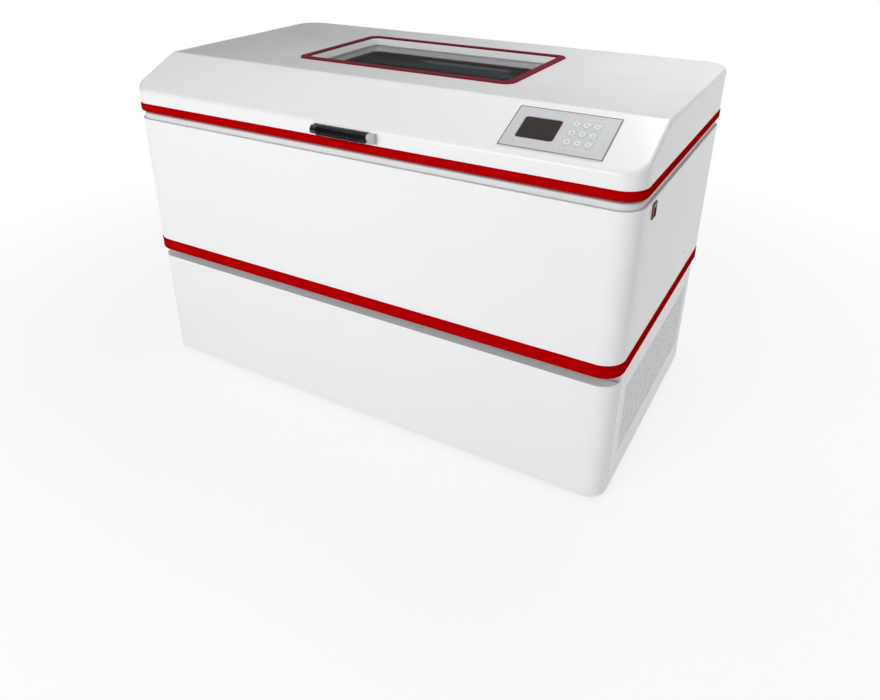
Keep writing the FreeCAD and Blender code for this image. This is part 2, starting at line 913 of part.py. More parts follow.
def lid_insulation():
    skirt = plan_prism(band_thickness - band_proud, lid_bottom + liner_sheet, lid_band_top)
    crown = soft_lid_block(lid_sheet, lid_sheet, lid_band_top)
    liner = lid_block(wall_thickness - liner_sheet, lid_thickness - liner_sheet,
                      lid_bottom - cut_overrun)
    well = window_box(well_width + lid_sheet * 2, well_depth + lid_sheet * 2,
                      well_radius + lid_sheet, liner_top - cut_overrun, lid_top)
    pocket = on_slope(block(around(panel_centre_x, board_width + pocket_margin * 2),
                            around(panel_centre_s, board_length + pocket_margin * 2),
                            (-pocket_depth, lid_sheet)))
    return union([skirt, crown]).cut([liner, well, pocket])


def lamp_axis_point(x):
    return point(x, lamp_centre_y, lid_top - lamp_drop)


def lamp_tube():
    """Glass tube with a metal cap and two pins at each end."""
    start = lamp_centre_x - lamp_length / 2
    glass = rod(lamp_radius, lamp_axis_point(start), lamp_length, x_axis)
    pins = []
    for side in (-1, 1):
        for height in (-1, 1):
            x = lamp_centre_x + side * lamp_length / 2
            spot = lamp_axis_point(x) + point(0, 0, height * lamp_pin_spacing / 2)
            pins.append(rod(lamp_pin_radius, spot, lamp_pin_length, x_axis * side))
    return union([glass] + pins)


def lamp_holders():
    holders = []
    axis = lamp_axis_point(0.0)
    for side in (-1, 1):
        inner = lamp_centre_x + side * lamp_length / 2
        outer = inner + side * lamp_holder_length
        holder = block((inner, outer), around(axis.y, lamp_holder_width),
                       (axis.z - lamp_holder_drop, liner_ceiling))
        cup = rod(lamp_radius + lamp_cup_wall, point(inner, axis.y, axis.z), lamp_cap_length, x_axis * side)
        sleeve = rod(lamp_radius + lamp_cup_wall, point(inner, axis.y, axis.z), lamp_cap_length, x_axis * -side)
        bore = rod(lamp_radius, point(inner, axis.y, axis.z), lamp_cap_length, x_axis * -side)
        slot_low = axis.z - lamp_pin_spacing / 2 - lamp_pin_radius
        slot_high = axis.z + lamp_pin_spacing / 2 + lamp_pin_radius
        slot = block((inner, inner + side * (lamp_pin_length + seam_gap)),
                     around(axis.y, lamp_pin_radius * 2), (slot_low, slot_high))
        body = union([holder, cup, sleeve])
        holders.append(body.cut([slot, bore]))
    return group(holders)


# Control panel

def key_places():
    """Key centres on the slope, row by row from the top left."""
    spots = []
    for row in range(key_rows):
        for column in range(key_columns):
            x = panel_centre_x + key_field_offset_x + (column - (key_columns - 1) / 2) * key_pitch_x
            s = panel_centre_s + key_field_offset_s - (row - (key_rows - 1) / 2) * key_pitch_s
            spots.append((x, s))
    return spots


def display_outline(n_range, clearance=0.0):
    x = panel_centre_x + display_offset_x
    s = panel_centre_s + display_offset_s
    return rounded_block(around(x, display_width + clearance), around(s, display_length + clearance),
                         n_range, display_corner_radius)


def panel_plate():
    plate = rounded_block(around(panel_centre_x, panel_width), around(panel_centre_s, panel_length),
                          (0.0, panel_thickness), panel_corner_radius)
    holes = [rod(key_radius + key_clearance, point(x, s, -cut_overrun), cut_overrun * 3)
             for x, s in key_places()]
    opening = display_outline((-cut_overrun, cut_overrun * 2))
    return on_slope(plate.cut(holes + [opening]))


def display_window():
    top = panel_thickness - display_recess
    return on_slope(display_outline((top - display_thickness, top)))


def key_cap(x, s):
    cap = rod(key_radius, point(x, s, -key_clearance), panel_thickness + key_proud + key_clearance)
    top = panel_thickness + key_proud
    cap = fillet_where(cap, key_edge_radius, flat_edge_at(top))
    flange_top = -key_clearance
    flange_bottom = flange_top - key_flange_thickness
    flange = rod(key_flange_radius, point(x, s, flange_bottom), key_flange_thickness)
    stem_bottom = -board_depth + tact_switch_height + key_travel + key_clearance
    stem = rod(key_stem_radius, point(x, s, stem_bottom), flange_bottom - stem_bottom)
    return on_slope(union([cap, flange, stem]))


def control_board():
    """Circuit board with key switches and display, hung from the lid skin on standoffs."""
    top = -board_depth
    board = block(around(panel_centre_x, board_width), around(panel_centre_s, board_length),
                  (top - board_thickness, top))
    switches = [block(around(x, tact_switch_size), around(s, tact_switch_size),
                      (top, top + tact_switch_height)) for x, s in key_places()]
    margin = display_module_margin * 2
    module = block(around(panel_centre_x + display_offset_x, display_width + margin),
                   around(panel_centre_s + display_offset_s, display_length + margin),
                   (top, panel_thickness - display_recess - display_thickness))
    skin_depth = lid_sheet * math.cos(math.radians(slope_angle))
    posts = []
    for side in (-1, 1):
        for end in (-1, 1):
            x = panel_centre_x + side * (board_width / 2 - board_standoff_inset)
            s = panel_centre_s + end * (board_length / 2 - board_standoff_inset)
            posts.append(rod(board_standoff_radius, point(x, s, top), -skin_depth - top))
    return on_slope(group([union([board] + switches + [module])] + posts))


# Latch handle

latch_face_y = -half_depth
latch_middle_z = lid_band_top + lid_lip_height / 2
latch_axis_y = latch_face_y - latch_axis_reach
latch_axis_z = latch_middle_z + latch_height / 2 - latch_axis_drop


def latch_base():
    """Back plate with a round knob at its left end and a faceted cheek at its right end."""
    left = latch_centre_x - latch_width / 2
    right = latch_centre_x + latch_width / 2
    low = latch_middle_z - latch_height / 2
    high = latch_middle_z + latch_height / 2
    plate = block((left, right), (latch_face_y - latch_plate_thickness, latch_face_y), (low, high))
    knob_centre = point(left, latch_face_y - latch_knob_radius, latch_middle_z)
    knob = rod(latch_knob_radius, knob_centre, latch_cheek_thickness, x_axis)
    reach = latch_face_y - latch_cheek_depth
    slant = latch_cheek_depth / 2
    outline = [point(right, latch_face_y, low), point(right, latch_face_y, high),
               point(right, reach + slant / 2, high), point(right, reach, high - slant / 2),
               point(right, reach, latch_middle_z), point(right, latch_face_y - slant, low)]
    cheek = profile_prism(outline, x_axis * -latch_cheek_thickness)
    bore = rod(latch_pin_radius, point(left - cut_overrun, latch_axis_y, latch_axis_z),
               latch_width + cut_overrun * 2, x_axis)
    return union([plate, knob, cheek]).cut(bore)


def latch_pin():
    left = latch_centre_x - latch_width / 2
    return rod(latch_pin_radius, point(left, latch_axis_y, latch_axis_z), latch_width, x_axis)


def latch_lever():
    """Pull bar: a round barrel on the pin, and a grip below it with upright ribs."""
    gap = latch_cheek_thickness + latch_side_gap
    length = latch_width - gap * 2
    left = latch_centre_x - length / 2
    barrel = rod(latch_bar_radius, point(left, latch_axis_y, latch_axis_z), length, x_axis)
    front = latch_axis_y - latch_bar_radius
    tip_z = latch_axis_z - latch_lever_drop + latch_lever_sheet
    nose = latch_face_y - latch_cheek_depth - latch_lever_sheet / 2
    outline = [point(left, latch_axis_y, latch_axis_z + latch_bar_radius),
               point(left, front, latch_axis_z + latch_bar_radius / 2),
               point(left, nose, latch_axis_z - latch_bar_radius),
               point(left, nose, tip_z),
               point(left, nose + latch_lever_sheet, tip_z),
               point(left, nose + latch_lever_sheet, latch_axis_z - latch_bar_radius),
               point(left, latch_axis_y, latch_axis_z - latch_bar_radius)]
    grip = profile_prism(outline, x_axis * length)
    ribs = [block(around(left + length * share, latch_rib_width), (nose - latch_rib_proud, nose),
                  (tip_z, latch_axis_z - latch_bar_radius)) for share in latch_rib_shares]
    lever = union([barrel, grip] + ribs)
    bore = rod(latch_pin_radius + running_gap, point(left - cut_overrun, latch_axis_y, latch_axis_z),
               length + cut_overrun * 2, x_axis)
    return lever.cut(bore)


# Hinges

def hinge_knuckle(centre_x, width, bore_radius):
    start = point(centre_x - width / 2, hinge_axis_y, hinge_axis_z)
    barrel = rod(hinge_barrel_radius, start, width, x_axis)
    return barrel, rod(bore_radius, start - x_axis * cut_overrun, width + cut_overrun * 2, x_axis)


def leaf_screws(centre_x, z, outer_y):
    heads = []
    for side in (-1, 1):
        x = centre_x + side * (hinge_leaf_width / 2 - hinge_screw_inset)
        heads.append(rod(hinge_screw_radius, point(x, outer_y, z), hinge_screw_height, y_axis))
    return heads


hinge_plate_front = half_depth + band_proud
hinge_plate_rear = hinge_plate_front + hinge_leaf_thickness
hinge_knuckle_width = hinge_width / 3 - hinge_knuckle_gap


def hinge_fixed_leaves():
    leaves = []
    for side in (-1, 1):
        centre_x = side * hinge_offset_x
        bottom = hinge_axis_z - hinge_leaf_height
        pad_top = body_top - hinge_leaf_thickness
        pad = block(around(centre_x, hinge_leaf_width), (half_depth, hinge_plate_rear), (bottom, pad_top))
        solids = [pad] + leaf_screws(centre_x, (bottom + pad_top) / 2, hinge_plate_rear)
        bores = []
        for end in (-1, 1):
            x = centre_x + end * (hinge_knuckle_width + hinge_knuckle_gap)
            arm = block(around(x, hinge_knuckle_width), (hinge_plate_front, hinge_plate_rear),
                        (pad_top - hinge_leaf_thickness, hinge_axis_z))
            barrel, bore = hinge_knuckle(x, hinge_knuckle_width, hinge_pin_radius)
            solids += [arm, barrel]
            bores.append(bore)
        leaves.append(union(solids).cut(bores))
    return group(leaves)


def hinge_lid_leaves():
    leaves = []
    for side in (-1, 1):
        centre_x = side * hinge_offset_x
        top = hinge_axis_z + hinge_leaf_height
        pad = block(around(centre_x, hinge_leaf_width), (half_depth, hinge_plate_rear), (lid_band_top, top))
        arm = block(around(centre_x, hinge_knuckle_width), (hinge_plate_front, hinge_plate_rear),
                    (hinge_axis_z, lid_band_top + hinge_leaf_thickness))
        barrel, bore = hinge_knuckle(centre_x, hinge_knuckle_width, hinge_pin_radius + running_gap)
        screws = leaf_screws(centre_x, (lid_band_top + top) / 2, hinge_plate_rear)
        leaves.append(union([pad, arm, barrel] + screws).cut(bore))
    return group(leaves)


def hinge_pins():
    pins = []
    for side in (-1, 1):
        start = point(side * hinge_offset_x - hinge_width / 2, hinge_axis_y, hinge_axis_z)
        pins.append(rod(hinge_pin_radius, start, hinge_width, x_axis))
    return group(pins)


# Mains switch

rocker_axis_x = half_width + switch_bezel_thickness - rocker_axis_depth
rocker_half = switch_bezel_height / 2 - switch_wall * 2 - rocker_clearance
rocker_width = switch_bezel_width - switch_wall * 4 - rocker_clearance * 2


def switch_bezel():
    """Black housing with a flange outside and a cavity for the rocker."""
    flange = rounded_block(around(0.0, switch_bezel_height), around(0.0, switch_bezel_width),
                           (0.0, switch_bezel_thickness), switch_wall)
    flange = fillet_where(flange, switch_wall / 2, flat_edge_at(switch_bezel_thickness))
    flange.rotate(point(0, 0), y_axis, 90.0)
    flange.translate(point(half_width, switch_centre_y, switch_centre_z))
    body = block((half_width - switch_body_depth, half_width),
                 around(switch_centre_y, switch_bezel_width - switch_wall * 2),
                 around(switch_centre_z, switch_bezel_height - switch_wall * 2))
    cavity = block((half_width - switch_cavity_depth, half_width + cut_overrun),
                   around(switch_centre_y, switch_bezel_width - switch_wall * 4),
                   around(switch_centre_z, switch_bezel_height - switch_wall * 4))
    axle = rod(rocker_pin_radius, point(rocker_axis_x, switch_centre_y - switch_bezel_width / 2
               + switch_wall, switch_centre_z), switch_bezel_width - switch_wall * 2, y_axis)
    return union([union([flange, body]).cut(cavity), axle])


def rocker():
    """Two-way rocker, tipped to one side at rest."""
    low = switch_centre_y - rocker_width / 2
    dip_x = rocker_axis_x + rocker_dip
    rise_x = rocker_axis_x + rocker_rise
    back_x = rocker_axis_x - rocker_hub_radius
    z = switch_centre_z
    outline = [point(back_x, low, z - rocker_hub_radius), point(rocker_axis_x, low, z - rocker_half),
               point(rise_x, low, z - rocker_half), point(dip_x, low, z),
               point(rise_x, low, z + rocker_half), point(rocker_axis_x, low, z + rocker_half),
               point(back_x, low, z + rocker_hub_radius)]
    paddle = profile_prism(outline, y_axis * rocker_width)
    bore = rod(rocker_pin_radius + running_gap, point(rocker_axis_x, low - cut_overrun, z),
               rocker_width + cut_overrun * 2, y_axis)
    paddle = paddle.cut(bore)
    paddle.rotate(point(rocker_axis_x, switch_centre_y, z), y_axis, switch_tilt)
    return paddle


def power_inlet():
    """Three-pin inlet: flange outside, shell behind it, blades in the mouth."""
    outer_y = half_depth - base_inset
    flange = block(around(inlet_centre_x, inlet_flange_width), (outer_y, outer_y + inlet_flange_thickness),
                   around(inlet_centre_z, inlet_flange_height))
    body = block(around(inlet_centre_x, inlet_body_width), (outer_y - inlet_body_depth, outer_y),
                 around(inlet_centre_z, inlet_body_height))
    front = outer_y + inlet_flange_thickness
    half_w = inlet_mouth_width / 2
    half_h = inlet_mouth_height / 2
    bevel = inlet_mouth_chamfer
    corners = [(-half_w, -half_h), (half_w, -half_h), (half_w, half_h - bevel),
               (half_w - bevel, half_h), (bevel - half_w, half_h), (-half_w, half_h - bevel)]
    outline = [point(inlet_centre_x + x, front + cut_overrun, inlet_centre_z + z) for x, z in corners]
    mouth = profile_prism(outline, y_axis * -(inlet_mouth_depth + cut_overrun))
    back = front - inlet_mouth_depth
    places = [(-inlet_pin_spacing, -inlet_pin_offset), (inlet_pin_spacing, -inlet_pin_offset),
              (0.0, inlet_pin_offset)]
    pins = [block(around(inlet_centre_x + x, inlet_pin_width), (back, back + inlet_pin_length),
                  around(inlet_centre_z + z, inlet_pin_height)) for x, z in places]
    holes = [rod(inlet_screw_radius, point(inlet_centre_x + side * inlet_screw_spacing / 2,
                 outer_y - cut_overrun, inlet_centre_z), inlet_flange_thickness + cut_overrun * 2, y_axis)
             for side in (-1, 1)]
    return union([union([flange, body]).cut([mouth] + holes)] + pins)


# Orbital drive

def drive_plate_blank(clearance):
    middle_y = drive_centre_y + idler_offset_y / 2
    return block(around(drive_centre_x, drive_plate_length + clearance),
                 around(middle_y, drive_plate_width + clearance),
                 (deck_top, deck_top + drive_plate_thickness + clearance / 2))


def drive_mount():
    """Steel plate with the three bearing housings, and the motor plate hung below the deck."""
    plate = drive_plate_blank(0.0)
    plate_top = deck_top + drive_plate_thickness
    housings = [rod(radius, point(x, y, plate_top), housing_top - plate_top)
                for x, y, radius in housing_places()]
    main_x, main_y, main_radius = housing_places()[0]
    bores = [rod(spindle_radius + running_gap, point(main_x, main_y, deck_bottom), housing_top)]
    for x, y, radius in housing_places()[1:]:
        floor = plate_top - shaft_end_gap / 2
        bores.append(rod(idler_shaft_radius + running_gap, point(x, y, floor), housing_top))
    body = union([plate] + housings).cut(bores)
    plate_z = motor_plate_top()
    motor_plate = block(around(motor_x, motor_plate_length), around(drive_centre_y, motor_plate_width),
                        (plate_z - motor_plate_thickness, plate_z))
    motor_plate = motor_plate.cut(rod(motor_shaft_radius + shaft_seal_gap, point(motor_x, drive_centre_y,
                                  plate_z - motor_plate_thickness - cut_overrun),
                                  motor_plate_thickness + cut_overrun * 2))
    posts = []
    for side in (-1, 1):
        for end in (-1, 1):
            x = motor_x + side * (motor_plate_length / 2 - motor_standoff_inset)
            y = drive_centre_y + end * (motor_plate_width / 2 - motor_standoff_inset)
            posts.append(rod(motor_standoff_radius, point(x, y, plate_z), deck_bottom - plate_z))
    return group([body, motor_plate] + posts)


def motor_plate_top():
    return deck_bottom - motor_plate_drop


def crank(x, y, shaft_radius, shaft_bottom, disc_radius, pin_radius):
    """Shaft, disc and off-centre pin in one turned piece."""
    shaft = rod(shaft_radius, point(x, y, shaft_bottom), crank_disc_bottom - shaft_bottom)
    disc = rod(disc_radius, point(x, y, crank_disc_bottom), crank_disc_thickness)
    pin = rod(pin_radius, point(x + orbit_radius, y, crank_disc_top), crank_pin_length)
    return union([shaft, disc, pin])


def counterweight():
    """Sector on the side away from the crank pin."""
    middle = point(drive_centre_x, drive_centre_y, crank_disc_bottom)
    half_angle = counterweight_angle / 2
    sector = Part.makeCylinder(counterweight_radius, crank_disc_thickness, middle, z_axis,
                               counterweight_angle)
    sector.rotate(middle, z_axis, 180.0 - half_angle)
    return sector


def toothed_wheel(x, y, radius, shaft_radius, hub_radius):
    """Belt pulley with two flanges, a web and a hub."""
    bottom = pulley_z - pulley_width / 2
    wheel = rod(radius, point(x, y, bottom), pulley_width)
    edge = radius + pulley_flange_rise
    for z in (bottom, bottom + pulley_width - pulley_flange):
        wheel = wheel.fuse(rod(edge, point(x, y, z), pulley_flange))
    if radius > hub_radius * 2:
        outer = rod(radius - pulley_rim, point(x, y, bottom - cut_overrun), pulley_width * 2)
        web = rod(radius, point(x, y, pulley_z - pulley_web / 2), pulley_web)
        hub = rod(hub_radius, point(x, y, bottom), pulley_width)
        wheel = union([wheel.cut(outer), web.common(outer), hub])
    return wheel.cut(rod(shaft_radius, point(x, y, bottom - cut_overrun), pulley_width + cut_overrun * 2))


def drive_spindle():
    x, y = drive_centre_x, drive_centre_y
    bottom = pulley_z - pulley_width / 2
    body = crank(x, y, spindle_radius, bottom, crank_disc_radius, crank_pin_radius)
    return union([body, counterweight(), toothed_wheel(x, y, pulley_radius, spindle_radius,
                                                       pulley_hub_radius)])


def idler_crank(side):
    x = drive_centre_x + side * idler_offset_x
    y = drive_centre_y + idler_offset_y
    bottom = deck_top + drive_plate_thickness + shaft_end_gap / 2
    return crank(x, y, idler_shaft_radius, bottom, idler_disc_radius, idler_pin_radius)


def motor_pulley():
    """Small pulley with the motor shaft that carries it."""
    wheel = toothed_wheel(motor_x, drive_centre_y, motor_pulley_radius, motor_shaft_radius,
                          pulley_hub_radius)
    bottom = motor_plate_top() - motor_plate_thickness + seat_gap
    shaft = rod(motor_shaft_radius, point(motor_x, drive_centre_y, bottom),
                pulley_z + pulley_width / 2 - bottom)
    return union([wheel, shaft])


def drive_motor():
    top = motor_plate_top() - motor_plate_thickness
    bottom = top - motor_length
    body = rod(motor_radius, point(motor_x, drive_centre_y, bottom), motor_length)
    fins = []
    fin_length = motor_length - motor_bell_height * 2
    for index in range(motor_fin_count):
        fin = block((motor_radius - motor_fin_height, motor_radius + motor_fin_height),
                    around(0.0, motor_fin_width), (bottom + motor_bell_height,
                                                   bottom + motor_bell_height + fin_length))
        fin.rotate(point(0, 0), z_axis, index * 360.0 / motor_fin_count)
        fin.translate(point(motor_x, drive_centre_y))
        fins.append(fin)
    box = block((motor_x, motor_x + motor_radius + motor_bell_height), around(drive_centre_y, motor_radius),
                around((bottom + top) / 2, motor_radius))
    return union([body, box] + fins)


def tangent_loop(centre_a, radius_a, centre_b, radius_b):
    """Wire of an open belt round two circles whose centres share one Y."""
    span = centre_b.x - centre_a.x
    lean = math.asin((radius_a - radius_b) / span)

    def spot(centre, radius, angle):
        return centre + point(radius * math.cos(angle), radius * math.sin(angle))
    upper = math.pi / 2 - lean
    a_top, a_low = spot(centre_a, radius_a, upper), spot(centre_a, radius_a, -upper)
    b_top, b_low = spot(centre_b, radius_b, upper), spot(centre_b, radius_b, -upper)
    a_far = spot(centre_a, radius_a, math.pi)
    b_far = spot(centre_b, radius_b, 0.0)
    edges = [Part.Arc(a_top, a_far, a_low).toShape(), Part.makeLine(a_low, b_low),
             Part.Arc(b_low, b_far, b_top).toShape(), Part.makeLine(b_top, a_top)]
    return Part.Wire(edges)


def drive_belt():
    bottom = pulley_z - belt_width / 2
    centre_a = point(drive_centre_x, drive_centre_y, bottom)
    centre_b = point(motor_x, drive_centre_y, bottom)
    inner_a = pulley_radius + belt_gap
    inner_b = motor_pulley_radius + belt_gap
    inner = tangent_loop(centre_a, inner_a, centre_b, inner_b)
    outer = tangent_loop(centre_a, inner_a + belt_thickness, centre_b, inner_b + belt_thickness)
    solid_inner, solid_outer = [Part.Face(wire).extrude(z_axis * belt_width) for wire in (inner, outer)]
    return solid_outer.cut(solid_inner)


def platform():
    """Drilled table on three hubs that ride on the crank pins."""
    middle_x = drive_centre_x + orbit_radius
    table = rounded_block(around(middle_x, platform_length), around(0.0, platform_width),
                          (platform_bottom, platform_top), platform_corner_radius)
    lips = []
    for side in (-1, 1):
        y = side * (platform_width - platform_lip_thickness) / 2
        lips.append(block(around(middle_x, platform_length - platform_corner_radius * 2),
                          around(y, platform_lip_thickness),
                          (platform_bottom - platform_lip_height, platform_bottom)))
    hubs = []
    bores = []
    hub_bottom = platform_bottom - platform_hub_height
    for x, y, radius in housing_places():
        pin_radius = crank_pin_radius if radius == housing_radius else idler_pin_radius
        hubs.append(rod(pin_radius + platform_hub_wall, point(x + orbit_radius, y, hub_bottom),
                        platform_hub_height))
        bores.append(rod(pin_radius + running_gap, point(x + orbit_radius, y, hub_bottom - cut_overrun),
                         crank_pin_length + cut_overrun))
    holes = []
    for row in range(clamp_rows):
        for column in range(clamp_columns):
            x = middle_x + (column - (clamp_columns - 1) / 2) * clamp_spacing_x
            y = (row - (clamp_rows - 1) / 2) * clamp_spacing_y
            holes.append(rod(clamp_hole_radius, point(x, y, platform_bottom - cut_overrun),
                             platform_thickness + cut_overrun * 2))
    solid_table = table.cut(holes)
    return union([solid_table] + lips + hubs).cut(bores)


# Cooling unit

def compressor():
    """Hermetic shell on a foot plate with rubber grommets."""
    x, y = compressor_x, compressor_y
    plate_bottom = cooling_floor + grommet_height
    plate = block(around(x, compressor_plate_length), around(0.0, compressor_plate_width),
                  (plate_bottom, plate_bottom + compressor_plate_thickness))
    shell_bottom = plate_bottom + compressor_plate_thickness
    drum = rod(compressor_radius, point(x, y, shell_bottom), compressor_shell_height)
    dome_top = shell_bottom + compressor_shell_height
    dome = rod(compressor_radius, point(x, y, dome_top), compressor_dome_height)
    dome = fillet_where(dome, compressor_dome_radius, flat_edge_at(dome_top + compressor_dome_height))
    seam_z = shell_bottom + compressor_shell_height / 2
    seam = rod(compressor_radius + compressor_seam_proud, point(x, y, seam_z), compressor_seam_height)
    stub_z = dome_top - compressor_seam_height
    stub = rod(compressor_stub_radius, point(x, y - compressor_radius + compressor_stub_length / 2, stub_z),
               compressor_stub_length, y_axis * -1)
    grommets = []
    for side in (-1, 1):
        for end in (-1, 1):
            spot = point(x + side * (compressor_plate_length / 2 - grommet_radius), end * rail_offset_y,
                         cooling_floor)
            grommets.append(rod(grommet_radius, spot, grommet_height))
    return group([plate, union([drum, dome, seam, stub])] + grommets)


def condenser_span():
    """X range of the condenser, just inside the left frame rail."""
    outer = frame_tube - frame_x + condenser_gap
    return (outer, outer + condenser_depth)


def finned_coil(x_range, y_range, z_range, fin_pitch, tube_pitch, tube_radius, columns):
    """Thin fins on straight tubes along Y, joined by return bends at both ends."""
    low_y, high_y = y_range
    count = int((high_y - low_y) // fin_pitch)
    rows = int((z_range[1] - z_range[0]) // tube_pitch)
    margin = ((z_range[1] - z_range[0]) - (rows - 1) * tube_pitch) / 2
    step_x = (x_range[1] - x_range[0]) / columns
    fins = []
    for index in range(count + 1):
        y = low_y + index * (high_y - low_y - condenser_fin_thickness) / count
        fins.append(block(x_range, (y, y + condenser_fin_thickness), z_range))
    tubes = []
    start_y, end_y = low_y - coil_tube_stub, high_y + coil_tube_stub
    for column in range(columns):
        x = x_range[0] + (column + 1 / 2) * step_x
        for row in range(rows):
            z = z_range[0] + margin + row * tube_pitch
            tubes.append(rod(tube_radius, point(x, start_y, z), end_y - start_y, y_axis))
            if row < rows - 1:
                bend_y = end_y if row % 2 == 0 else start_y
                turn = 0.0 if row % 2 == 0 else 180.0
                tubes.append(return_bend(point(x, bend_y, z + tube_pitch / 2), tube_pitch / 2,
                                         tube_radius, turn))
    return union(tubes + fins)


def return_bend(centre, bend_radius, tube_radius, turn):
    """Half ring in the YZ plane."""
    ring = Part.makeTorus(bend_radius, tube_radius, point(0, 0), z_axis, -180.0, 180.0, 180.0)
    ring.rotate(point(0, 0), y_axis, 90.0)
    ring.rotate(point(0, 0), z_axis, turn)
    ring.translate(centre)
    return ring


def condenser_coil():
    bends = condenser_tube_pitch / 2 + condenser_tube_radius + coil_tube_stub
    y_range = around(0.0, condenser_width - bends * 2)
    z_range = (cooling_floor, cooling_floor + condenser_height)
    return finned_coil(condenser_span(), y_range, z_range, condenser_fin_pitch,
                       condenser_tube_pitch, condenser_tube_radius, condenser_tube_columns)


fan_centre_z = cooling_floor + condenser_height / 2


def fan_shroud():
    """Square duct plate behind the condenser, with the fan ring, arms and motor."""
    front = condenser_span()[1]
    plate = block((front, front + shroud_thickness), around(0.0, condenser_width),
                  (cooling_floor, cooling_floor + condenser_height))
    centre = point(front, 0.0, fan_centre_z)
    ring = rod(fan_ring_radius + shroud_thickness, centre, shroud_depth, x_axis)
    hole = rod(fan_ring_radius, centre - x_axis * cut_overrun, shroud_depth + cut_overrun * 2, x_axis)
    arm_x = front + shroud_depth
    arms = []
    for index in range(fan_arm_count):
        arm = block((arm_x - fan_arm_thickness, arm_x), around(0.0, fan_arm_width),
                    (0.0, fan_ring_radius + shroud_thickness / 2))
        arm.rotate(point(arm_x, 0.0, 0.0), x_axis, (index + 1 / 2) * 360.0 / fan_arm_count)
        arm.translate(point(0.0, 0.0, fan_centre_z))
        arms.append(arm)
    motor = rod(fan_motor_radius, point(arm_x, 0.0, fan_centre_z), fan_motor_length, x_axis)
    shell = union([plate, ring]).cut(hole)
    frame = union([shell] + arms + [motor])
    bore = rod(fan_shaft_radius + running_gap, centre, shroud_depth + fan_motor_length / 2, x_axis)
    return frame.cut(bore)


def condenser_fan():
    """Hub with pitched blades on a short shaft."""
    front = condenser_span()[1]
    hub_x = front + (shroud_depth - fan_arm_thickness - fan_motor_gap - fan_hub_depth)
    centre = point(hub_x, 0.0, fan_centre_z)
    hub = rod(fan_hub_radius, centre, fan_hub_depth, x_axis)
    tip = fan_ring_radius - fan_tip_gap
    blades = []
    for index in range(fan_blade_count):
        chord = fan_hub_depth / math.sin(math.radians(fan_blade_pitch)) * fan_blade_chord_share
        blade = block(around(0.0, fan_blade_thickness), around(0.0, chord), (0.0, tip))
        blade.rotate(point(0, 0), z_axis, 90.0 - fan_blade_pitch)
        blade.rotate(point(0, 0), x_axis, index * 360.0 / fan_blade_count)
        blade.translate(centre + x_axis * (fan_hub_depth / 2))
        blades.append(blade)
    reach = rod(tip, centre, fan_hub_depth, x_axis)
    blades = [blade.common(reach) for blade in blades]
    shaft = rod(fan_shaft_radius, centre, fan_hub_depth + fan_motor_gap + fan_arm_thickness
                + fan_motor_length / 4, x_axis)
    return union([hub, shaft] + blades)


# Air duct in the chamber

duct_fan_z = tank_floor_top + duct_intake_height


def duct_guard():
    """Wire rings on a cross of strips, in the intake."""
    centre_x = duct_face_x + tank_sheet / 2
    rings = []
    for index in range(guard_ring_count):
        radius = duct_intake_radius * (index + 1) / guard_ring_count
        rings.append(Part.makeTorus(radius, guard_wire_radius, point(centre_x, 0.0, duct_fan_z), x_axis))
    across = block(around(centre_x, tank_sheet), around(0.0, duct_intake_radius * 2),
                   around(duct_fan_z, tank_sheet))
    upright = block(around(centre_x, tank_sheet), around(0.0, tank_sheet),
                    around(duct_fan_z, duct_intake_radius * 2))
    return rings + [across, upright]


def air_duct_cover():
    """Front sheet with a guarded intake, and a roof that leaves an outlet free at each end."""
    wall = block((duct_face_x, duct_face_x + tank_sheet), (-chamber_y, chamber_y), (tank_floor_top, duct_top))
    intake = rod(duct_intake_radius, point(duct_face_x - cut_overrun, 0.0, duct_fan_z),
                 cut_overrun * 2 + tank_sheet, x_axis)
    roof_length = chamber_y * 2 - duct_outlet_length * 2
    roof = block((duct_face_x + tank_sheet, chamber_x), around(0.0, roof_length),
                 (duct_top - tank_sheet, duct_top))
    return group([union([wall.cut(intake)] + duct_guard()), roof])


def chamber_fan_motor():
    start = point(chamber_x - chamber_motor_length, 0.0, duct_fan_z)
    body = rod(chamber_motor_radius, start, chamber_motor_length, x_axis)
    bore = rod(fan_shaft_radius + running_gap, start - x_axis * cut_overrun, chamber_motor_length / 2, x_axis)
    return body.cut(bore)


def chamber_fan():
    """Open centrifugal wheel: back plate, hub and radial vanes."""
    front_x = duct_face_x + tank_sheet + chamber_fan_gap
    plate_x = front_x + chamber_fan_depth
    centre = point(front_x, 0.0, duct_fan_z)
    plate = rod(chamber_fan_radius, point(plate_x, 0.0, duct_fan_z), chamber_fan_plate, x_axis)
    hub = rod(fan_shaft_radius * 2, centre, chamber_fan_depth, x_axis)
    vanes = []
    for index in range(chamber_fan_vanes):
        vane = block((front_x, plate_x), around(0.0, chamber_fan_vane_thickness),
                     (chamber_fan_radius - chamber_fan_vane_length, chamber_fan_radius - chamber_fan_plate))
        vane.rotate(point(0, 0), x_axis, index * 360.0 / chamber_fan_vanes)
        vane.translate(point(0.0, 0.0, duct_fan_z))
        vanes.append(vane)
    motor_face = chamber_x - chamber_motor_length
    shaft = rod(fan_shaft_radius, centre, motor_face - front_x + chamber_motor_length / 4, x_axis)
    return union([plate, hub, shaft] + vanes)


def duct_heater():
    """Two round turns of sheathed element about the fan, on clips off the end wall."""
    turns = []
    first_x = duct_face_x + tank_sheet + chamber_fan_gap * 2 + heater_tube_radius
    for index in range(2):
        x = first_x + index * heater_turn_spacing
        turns.append(Part.makeTorus(heater_radius, heater_tube_radius, point(x, 0.0, duct_fan_z), x_axis))
    clips = []
    for side in (-1, 1):
        y = side * heater_radius
        clips.append(block((first_x, chamber_x), around(y, heater_clip_size / 2),
                           around(duct_fan_z, heater_clip_size)))
    return union(turns + clips)


